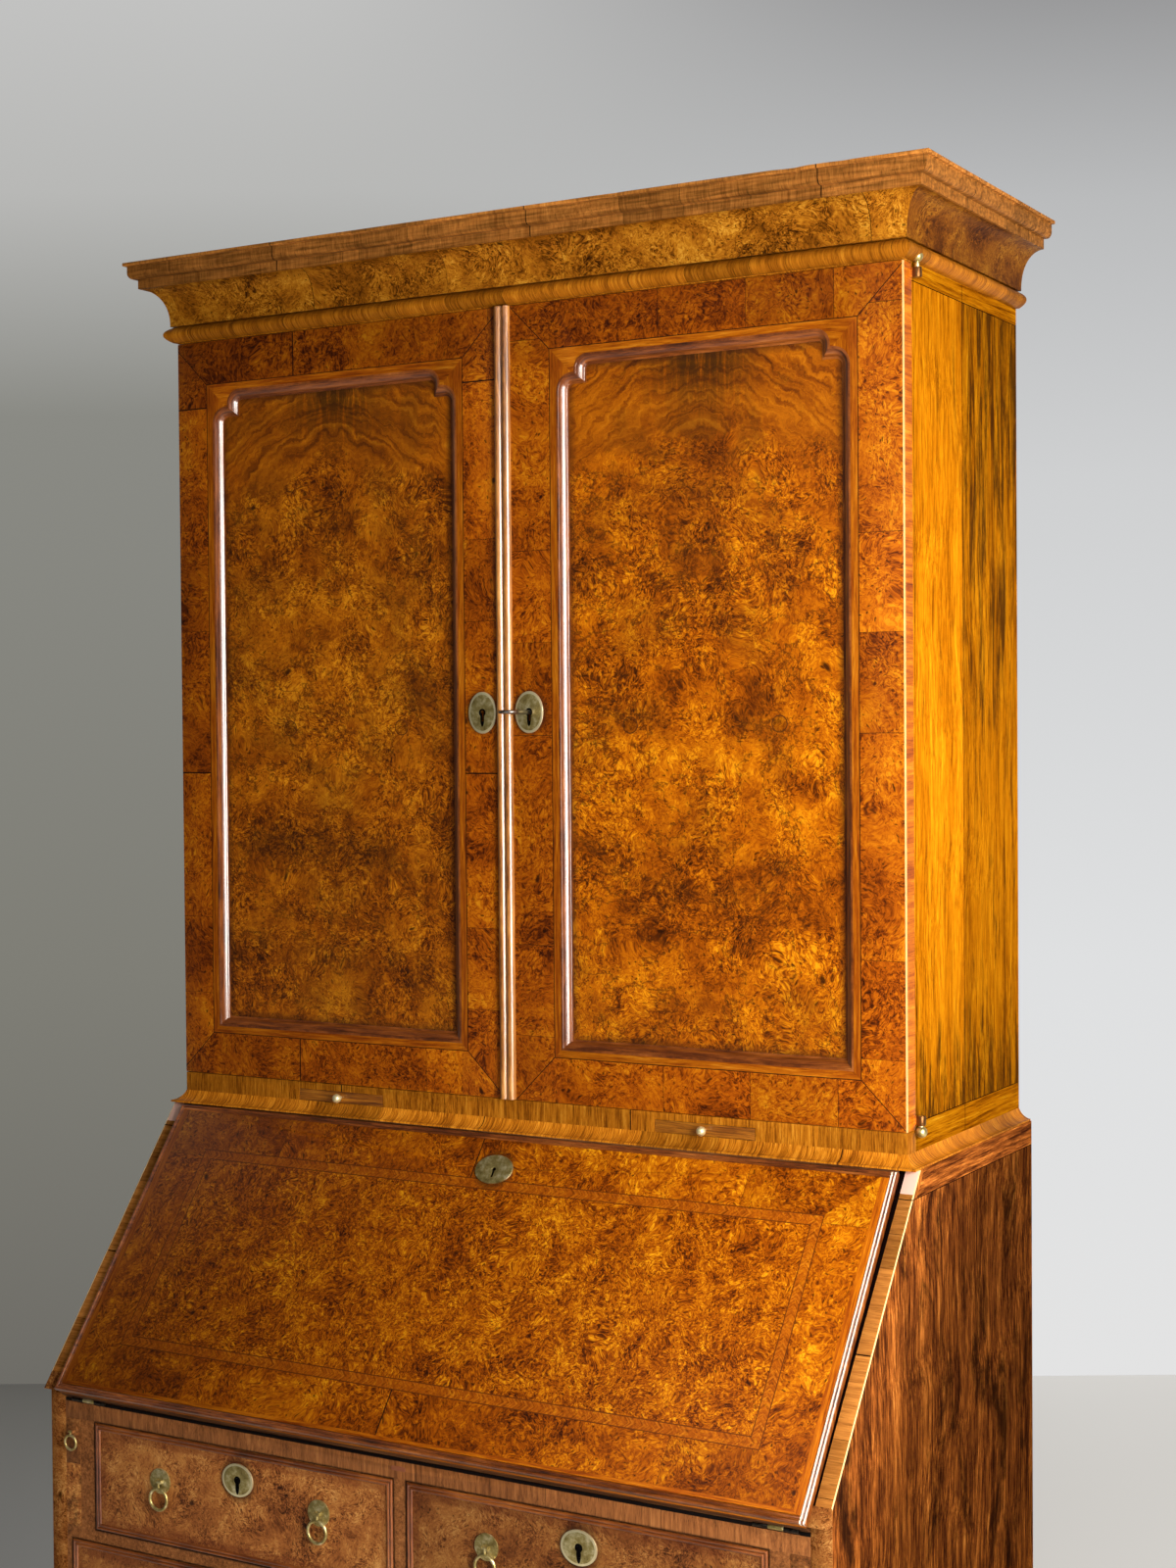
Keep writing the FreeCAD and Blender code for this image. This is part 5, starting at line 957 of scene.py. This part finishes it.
def dress(names, material, width, segments=2, planed=False):
    """Gives one material and worn edges to model pieces."""
    for name in names.split():
        piece = NODES[name]
        piece.data.materials.clear()
        piece.data.materials.append(material)
        soften(piece, width, segments, planed)


def place_piece(piece, material, body, slot, *nodes):
    """Hands a new piece over: its material, the body it rides on, its slot, which is not used, and the pieces it
    stands for.
    """
    piece.data.materials.append(material)
    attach(piece, body)
    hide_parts(*nodes)


class BureauLooks(bpy.types.PropertyGroup):
    """What a user would change about the finish and the light."""

    edge_wear: FloatProperty(
        name="Edge wear",
        description="Radius to which the boards' edges are worn",
        default=0.0005,
        min=0.0,
        max=0.002,
        unit="LENGTH",
    )
    unevenness: FloatProperty(
        name="Unevenness",
        description="How far the hand-worked mouldings waver along their length, in millimetres",
        default=0.3,
        min=0.0,
        max=1.0,
    )
    wall_colour: FloatVectorProperty(
        name="Wall",
        description="Tint of the wall behind the piece",
        default=linear("FFFFFF")[:3],
        subtype="COLOR",
        min=0.0,
        max=1.0,
    )
    floor_colour: FloatVectorProperty(
        name="Floor",
        description="Colour of the pale floor",
        default=linear("D8D6D2")[:3],
        subtype="COLOR",
        min=0.0,
        max=1.0,
    )
    light_power: FloatProperty(
        name="Light",
        description="Strength of the studio lights against their usual strength",
        default=1.0,
        min=0.0,
        max=4.0,
        subtype="FACTOR",
    )


def glowing_floor(name, colour):
    """Matt paint of one colour with a faint unevenness, and painted light: a soft glow toward the bright side of the
    room, so that it reads as a real floor in the same light as the wall."""
    material, add = blank(name)
    metres = add("TexCoord", out="Object")
    patch = add("TexNoise", Vector=metres, Scale=0.7, Detail=2.0)
    base = add("RGB", out=None)
    base.outputs[0].default_value = (*colour, 1.0)
    shade = toned(add, base.outputs[0], patch, 0.96, 1.04)
    # Painted light: the floor glows more toward the bright side of the room
    across = add("VectorMath.DOT_PRODUCT", metres, (0.86, 0.5, 0.0), out="Value")
    glow = add("MapRange", across, -1.2, 1.4, 0.03, 0.4, interpolation_type="SMOOTHSTEP")
    glow = add("VectorMath.SCALE", base.outputs[0], Scale=glow)
    settings = {"Base Color": shade, "Roughness": 0.8, "Emission Color": glow, "Emission Strength": 1.0}
    add("OutputMaterial", add("BsdfPrincipled", **settings), out=None)
    return material


def glowing_wall(name, colour, right, middle):
    """Backdrop of painted light: it glows from within, so that it needs no lamp of its own, and its glow follows the
    wall's own place, across and up, from a dim left side under a lighter top to a bright right side. It can be
    seen through from behind, so that the back of the piece can be looked at."""
    material, add = blank(name)
    metres = add("TexCoord", out="Object")
    across = add("VectorMath.DOT_PRODUCT", metres, tuple(right), out="Value")
    across = add("Math.SUBTRACT", across, middle)
    height = add("SeparateXYZ", metres, out="Z")
    height = add("MapRange", height, 0.0, 3.3, 0.0, 1.0)
    left_tones = [(0.0, "6E6C66"), (0.3, "7F7E76"), (0.7, "8A8A84"), (0.86, "B8B8B6"), (1.0, "C2C2C1")]
    right_tones = [(0.0, "E3E3E3"), (0.3, "DFE0E1"), (0.65, "CFD0D1"), (0.85, "BABBBC"), (1.0, "989899")]
    left_glow = add("ValToRGB", height, stops=left_tones)
    right_glow = add("ValToRGB", height, stops=right_tones)
    # Painted light: the glow runs from the dim left side to the bright right side
    share = add("MapRange", across, -0.9, 1.1, 0.0, 1.0, interpolation_type="SMOOTHSTEP")
    glow = add("MixRGB", share, left_glow, right_glow)
    fade = add("MapRange", across, 1.6, 4.5, 1.0, 0.5, interpolation_type="SMOOTHSTEP")
    glow = add("VectorMath.SCALE", glow, Scale=fade)
    glow = add("VectorMath.MULTIPLY", glow, tuple(colour))
    behind = add("NewGeometry", out="Backfacing")
    surface = add("MixShader", behind, add("Emission", glow, 1.0), add("BsdfTransparent"))
    add("OutputMaterial", surface, out=None)
    return material


def soft_light(name, place, target, size, power, colour="FFFFFF"):
    """A square softbox that faces a target."""
    data = bpy.data.lights.new(name, "AREA")
    data.shape = "RECTANGLE"
    data.size, data.size_y = size
    data.energy = power
    data.color = linear(colour)[:3]
    light = bpy.data.objects.new(name, data)
    bpy.context.scene.collection.objects.link(light)
    light.location = place
    light.rotation_euler = (Vector(target) - Vector(place)).to_track_quat("-Z", "Y").to_euler()
    light.visible_camera = False


class BUREAU_OT_stage(bpy.types.Operator):
    """Sets the camera, the pale floor, the wall and the soft lights"""

    bl_idname = "bureau.stage"
    bl_label = "Stage"

    def execute(self, context):
        looks = context.scene.bureau_looks
        yaw, pitch, roll = 0.5255, 0.0223, -0.008
        place = Vector((1.39937, -2.2830, 1.54796))
        forward = Vector((-math.sin(yaw) * math.cos(pitch), math.cos(yaw) * math.cos(pitch), -math.sin(pitch)))
        right = Vector((math.cos(yaw), math.sin(yaw), 0.0))
        up = right.cross(forward)
        across = math.cos(roll) * right + math.sin(roll) * up
        top = -math.sin(roll) * right + math.cos(roll) * up
        data = bpy.data.cameras.new("Camera")
        data.sensor_width = 36.0
        data.lens = 52.777
        data.clip_end = 50.0
        camera = bpy.data.objects.new("Camera", data)
        context.scene.collection.objects.link(camera)
        camera.matrix_world = Matrix.Translation(place) @ Matrix((across, top, -forward)).transposed().to_4x4()
        context.scene.camera = camera
        context.scene.view_settings.view_transform = "Standard"

        level = Vector((-math.sin(yaw), math.cos(yaw), 0.0))
        foot = Vector((place.x, place.y, 0.0)) + level * 5.47
        wall = [tuple(foot + right * u + Vector((0, 0, w))) for u, w in ((-7, 0), (7, 0), (7, 6), (-7, 6))]
        floor = [(-9, -9, 0), (9, -9, 0), (9, 9, 0), (-9, 9, 0)]
        ground = glowing_floor("studio_floor_paint", tuple(looks.floor_colour))
        backdrop = glowing_wall("studio_wall_paint", tuple(looks.wall_colour), right, foot.dot(right))
        for name, points, paint in (("studio_floor", floor, ground), ("studio_wall", wall, backdrop)):
            mesh = bpy.data.meshes.new(name)
            mesh.from_pydata(points, [], [(0, 1, 2, 3)])
            piece = bpy.data.objects.new(name, mesh)
            context.scene.collection.objects.link(piece)
            mesh.materials.append(paint)

        world = bpy.data.worlds.new("Studio")
        world.use_nodes = True
        background = world.node_tree.nodes["Background"]
        background.inputs["Color"].default_value = linear("F0F0F0")
        background.inputs["Strength"].default_value = 0.06
        context.scene.world = world
        power = looks.light_power
        soft_light("Key", (1.95, -1.15, 1.55), (0.5, 0.85, 1.25), (0.8, 1.3), 100 * power, "FFF8F0")
        soft_light("Strip", (2.0, -2.3, 1.5), (-0.2, 0, 1.4), (0.25, 1.8), 14 * power, "FFF8F0")
        soft_light("High", (1.75, -0.6, 2.1), (0.2, -0.15, 1.0), (0.4, 0.9), 9 * power, "FFF8F0")
        soft_light("Fill", (0.3, -3.8, 3.0), (0, 0, 1.1), (2.4, 1.6), 18 * power)
        return {"FINISHED"}


class BUREAU_OT_case(bpy.types.Operator):
    """Veneers the bookcase's and the bureau's boards, their backs, shelves and feet"""

    bl_idname = "bureau.case"
    bl_label = "Case"

    def execute(self, context):
        wear = context.scene.bureau_looks.edge_wear
        oak_up = plain_wood("oak_upright_sawn", SOLID, GRAIN_Z, 0.6)
        oak_along = plain_wood("oak_lengthwise_sawn", SOLID, GRAIN_X, 0.6)
        frieze = cross_wood("cross_walnut_frieze_waxed", CROSS_GOLD, 132.0, 0.9, 0.78, 1.02, contrast=0.95)
        dress("bookcase_sides", case_side_wood(), wear)
        dress("bureau_sides", bureau_side_wood(), wear)
        dress("bookcase_top bookcase_base", frieze, wear)
        dress("writing_bed", bed_wood(), wear)
        dress("bookcase_back_boards bureau_back_boards", oak_up, wear)
        for name in ("bookcase", "bureau"):
            low, high = corners(f"{name}_back_boards")
            pitch = (high[0] - low[0] + BOARD_GAP) / BOARD_COUNT
            near, far = (low[1] + (high[1] - low[1]) * share for share in (0.3, 0.7))
            grids = []
            for i in range(1, BOARD_COUNT):
                right = low[0] + i * pitch
                section = [(right - BOARD_GAP, near), (right, near), (right, far), (right - BOARD_GAP, far)]
                grid, _ = upright_run(section, low[2], high[2], i)
                grids.append((grid, False))
            piece = solid_mesh(f"{name}_back_tongues", grids)
            place_piece(piece, oak_up, "carcase", "carcase_wood")
        dress("bookcase_shelves dust_boards pigeonhole_nest bureau_top_board", oak_along, wear)
        dress("bracket_feet", plain_wood("burr_brown_walnut_feet_waxed", CROSS_DULL, (0.1, 1.0, 0.3), 0.42), 0.0)
        return {"FINISHED"}


class BUREAU_OT_mouldings(bpy.types.Operator):
    """Runs the cornice, the necking bead, the waist moulding and the base moulding round the case"""

    bl_idname = "bureau.mouldings"
    bl_label = "Mouldings"

    def execute(self, context):
        waver = context.scene.bureau_looks.unevenness
        start = DOOR_TOP + 22.0
        brow, rise = 34.0, 45.5
        brow_z, corona = start + rise, start + rise + 11.5
        # The cavetto: a hollow that starts upright and turns out to the brow
        turn = np.linspace(0, 1, 16) * math.pi / 2
        hollow = [(6.5 + 27.5 * (1 - math.cos(t)) ** 1.12, start + rise * math.sin(t)) for t in turn]
        hollow[-1] = (brow, brow_z)
        turn = np.linspace(0, math.pi / 2, 7)
        swell = [(38.0 + 5.5 * math.sin(t), corona + 7.5 - 7.5 * math.cos(t)) for t in turn]
        lip, top = CORNICE_TOP - 4.2, CORNICE_TOP
        cornice = [
            (0, start), *hollow, (brow, brow_z + 0.4), (brow, corona), *swell,
            (43.5, lip), (47.2, lip + 0.2), (47.5, lip + 0.6), (47.5, top - 0.6), (47.0, top), (0, top),
        ]
        foot, top = DOOR_TOP + 2.1, DOOR_TOP + 21.0
        round_bead = arc((4, foot), (4, top), -9.0, 13).tolist()
        necking = [(0, foot), *round_bead, (0, top)]
        waist_foot = CASE_LOW + 2.2
        ogee = arc((12.4, waist_foot), (0.0, CASE_LOW + 14.3), 2.2, 9).tolist()
        waist = [(0, CASE_LOW), (14, CASE_LOW), (14, waist_foot), *ogee]
        low, high = FOOT_TOP + 9, FOOT_TOP + 29
        bend = [(t, math.sin(2 * math.pi * t) / (2 * math.pi) * 0.55) for t in np.linspace(0, 1, 12)]
        knee = [(17 - 14 * t, low + 20 * (t - ease)) for t, ease in bend]
        base = [(0, FOOT_TOP), (20, FOOT_TOP), (20, low), *knee, (3, high + 3), (0, high + 3)]
        chips = ((340, 9, 2.6, 2126), (352, 5, 3.4, 2128), (402, 6, 2.2, 2127), (150, 8, 1.2, 2128))
        for name, profile, half, front, node, wood, marks in (
            ("cornice", cornice, CASE_X, DOOR_Y, "cornice_moulding", cornice_wood(), chips),
            ("necking", necking, CASE_X, DOOR_Y, "necking_bead",
             cross_wood("cross_walnut_necking_waxed", CROSS_GOLD, 104.0, 1.7, 0.62, 1.05), ()),
            ("waist", waist, CASE_X, DOOR_Y, "waist_moulding",
             cross_wood("cross_walnut_waist_waxed", CROSS_GOLD, 150.0, 3.1, 0.85, 1.5, contrast=1.1), ()),
            ("base", base, BUREAU_X, FACE_Y, "base_moulding",
             cross_wood("cross_walnut_base_waxed", CROSS_DULL, 160.0, 5.1), ()),
        ):
            blocks = run_round(profile, half, front, BACK_Y, len(name), waver, marks)
            piece = solid_mesh(f"{name}_run", blocks)
            place_piece(piece, wood, "carcase", "walnut_moulding", node)
        return {"FINISHED"}


class BUREAU_OT_doors(bpy.types.Operator):
    """Veneers both doors and sets their shaped mouldings and the meeting bead"""

    bl_idname = "bureau.doors"
    bl_label = "Doors"

    def execute(self, context):
        looks = context.scene.bureau_looks
        bead = bead_wood("walnut_bead_polished", RED_BEAD)
        # Across the moulding: a flat, a quirk, a flattened round and a small fillet against the panel
        oval = (arc((3.4, 1.0), (10.0, 7.3), -0.8, 9) + (0.0, DOOR_Y)).tolist()
        section = [(0, DOOR_Y), (2.5, DOOR_Y), (2.9, DOOR_Y + 0.3), (3.1, DOOR_Y + 1.2), *oval]
        section += [(10.3, DOOR_Y + 7.6), (12.0, DOOR_Y + 7.8), (12.0, PANEL_Y), (0, PANEL_Y)]
        for side, centre, seed, panel_stops, plugs, lock_x in (
            ("left", LEFT_CENTRE, 1.0, BURR_LEFT, ((-322, 1556), (-158, 1556)), LEFT_LOCK_X),
            ("right", RIGHT_CENTRE, 2.0, BURR_RIGHT, ((152, 1556), (336, 1556)), RIGHT_LOCK_X),
        ):
            frame_wood = door_frame_wood(f"burr_walnut_{side}_door_waxed", centre, seed, BURR_FRAME, lock_x)
            panel_wood = door_panel_wood(f"burr_walnut_{side}_panel_waxed", centre, seed, panel_stops, plugs)
            dress(f"{side}_door_frame", frame_wood, looks.edge_wear)
            dress(f"{side}_door_panel", panel_wood, looks.edge_wear)
            outline = functools.partial(shaped_loop, centre)
            piece = ringed(f"{side}_panel_ovolo", outline, section, upright_lay, 30)
            place_piece(piece, bead, f"{side}_door", "walnut_moulding", f"{side}_panel_moulding")
        profile = reeds(MEETING_LEFT, BEAD_WIDTH, DOOR_Y - 3.0, -3.8, 9, DOOR_Y)
        grid, shift = upright_run(profile, DOOR_LOW, DOOR_TOP, 5)
        grid[:, 1:-1, 1] += shift[:, None]
        piece = solid_mesh("meeting_reeds", [(grid, False)], 50)
        pale = bead_wood("walnut_meeting_bead_polished", CROSS_CROWN)
        place_piece(piece, pale, "right_door", "walnut_moulding", "meeting_bead")
        return {"FINISHED"}


class BUREAU_OT_fall(bpy.types.Operator):
    """Veneers the sloping fall and runs the reeded bead round its edge"""

    bl_idname = "bureau.fall"
    bl_label = "Fall"

    def execute(self, context):
        looks = context.scene.bureau_looks
        dress("fall_board", fall_wood(), looks.edge_wear)
        section = reeds(0, FALL_BEAD, FALL_THICK - 1.4, 1.4, 8, LIP_LOW)
        outline = functools.partial(rectangle, (-LIP_HALF, FALL_LOW), (LIP_HALF, FALL_HIGH))
        piece = ringed("fall_reeds", outline, section, sloping_lay)
        wood = bead_wood("walnut_fall_bead_polished", RED_BEAD, rubbed_x=LIP_HALF - FALL_BEAD)
        place_piece(piece, wood, "fall", "walnut_moulding", "fall_edge_bead")
        return {"FINISHED"}


class BUREAU_OT_drawers(bpy.types.Operator):
    """Veneers the drawers, sets the reeds round their fronts, and finishes the rails, lopers and candle slides"""

    bl_idname = "bureau.drawers"
    bl_label = "Drawers"

    def execute(self, context):
        wear = context.scene.bureau_looks.edge_wear
        bead = bead_wood("red_walnut_drawer_bead_waxed", RED_BEAD, 0.34)
        section = reeds(0, DRAWER_BEAD, FACE_Y - 0.2, -1.5, 7, FACE_Y)
        for name in DRAWERS:
            low, high = corners(name)
            hole_z = corners(name + "_brasses")[1][2] - PLATE_HALF
            dress(name, drawer_wood(f"burr_walnut_{name}_waxed", low, high, hole_z), wear)
            outline = functools.partial(rectangle, low[::2], high[::2])
            piece = ringed(f"{name}_reeds", outline, section, upright_lay)
            place_piece(piece, bead, name, "walnut_moulding")
        oak = plain_wood("oak_nest_drawer_sawn", SOLID, GRAIN_X)
        dress("nest_drawer_left nest_drawer_right", oak, wear)
        dress("drawer_rails drawer_dividers", rail_wood(), wear / 2, planed=True)
        loper = plain_wood("brown_walnut_loper_waxed", CROSS_DULL, GRAIN_Y, 0.4)
        dress("loper_left loper_right", loper, wear)
        dress("candle_slide_left candle_slide_right", slide_wood(), wear)
        return {"FINISHED"}


class BUREAU_OT_fittings(bpy.types.Operator):
    """Gives brass and steel to the escutcheons, rings, hinges, knobs, bolts and key"""

    bl_idname = "bureau.fittings"
    bl_label = "Fittings"

    def execute(self, context):
        metal = brass("aged_brass_cast", plates=True)
        steel = iron("dark_steel_filed", "5A4F46", "A8A49C")
        black = iron("blackened_steel_forged", "1C1814", "4A443C")
        names = [name for name in NODES if "brasses" in name or "ring" in name.split("_")]
        dress(" ".join(names), metal, 0.0006, 3)
        dress("door_hinge_pins", brass("polished_brass_turned", plates=False), 0.00025)
        dress("fall_hinge_leaves", black, 0.00025)
        dress("left_door_top_bolt left_door_bottom_bolt door_lock_bolt door_key", steel, 0.00025)
        return {"FINISHED"}


class BUREAU_PT_panel(bpy.types.Panel):
    """Lists the piece's operators and settings in the sidebar"""

    bl_idname = "BUREAU_PT_panel"
    bl_label = "Bureau Bookcase"
    bl_space_type = "VIEW_3D"
    bl_region_type = "UI"
    bl_category = "Bureau Bookcase"

    def draw(self, context):
        column = self.layout.column()
        for name in BureauLooks.__annotations__:
            column.prop(context.scene.bureau_looks, name)
        for operator in OPERATORS:
            column.operator(operator.bl_idname)


OPERATORS = (
    BUREAU_OT_stage,
    BUREAU_OT_case,
    BUREAU_OT_mouldings,
    BUREAU_OT_doors,
    BUREAU_OT_fall,
    BUREAU_OT_drawers,
    BUREAU_OT_fittings,
)
CLASSES = (BureauLooks, *OPERATORS, BUREAU_PT_panel)


def register():
    for kind in CLASSES:
        bpy.utils.register_class(kind)
    bpy.types.Scene.bureau_looks = PointerProperty(type=BureauLooks)


def unregister():
    del bpy.types.Scene.bureau_looks
    for kind in reversed(CLASSES):
        bpy.utils.unregister_class(kind)


def main():
    """Registers the classes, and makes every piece."""
    register()
    for operator in OPERATORS:
        group, name = operator.bl_idname.split(".")
        getattr(getattr(bpy.ops, group), name)()


if __name__ == "__main__":
    main()
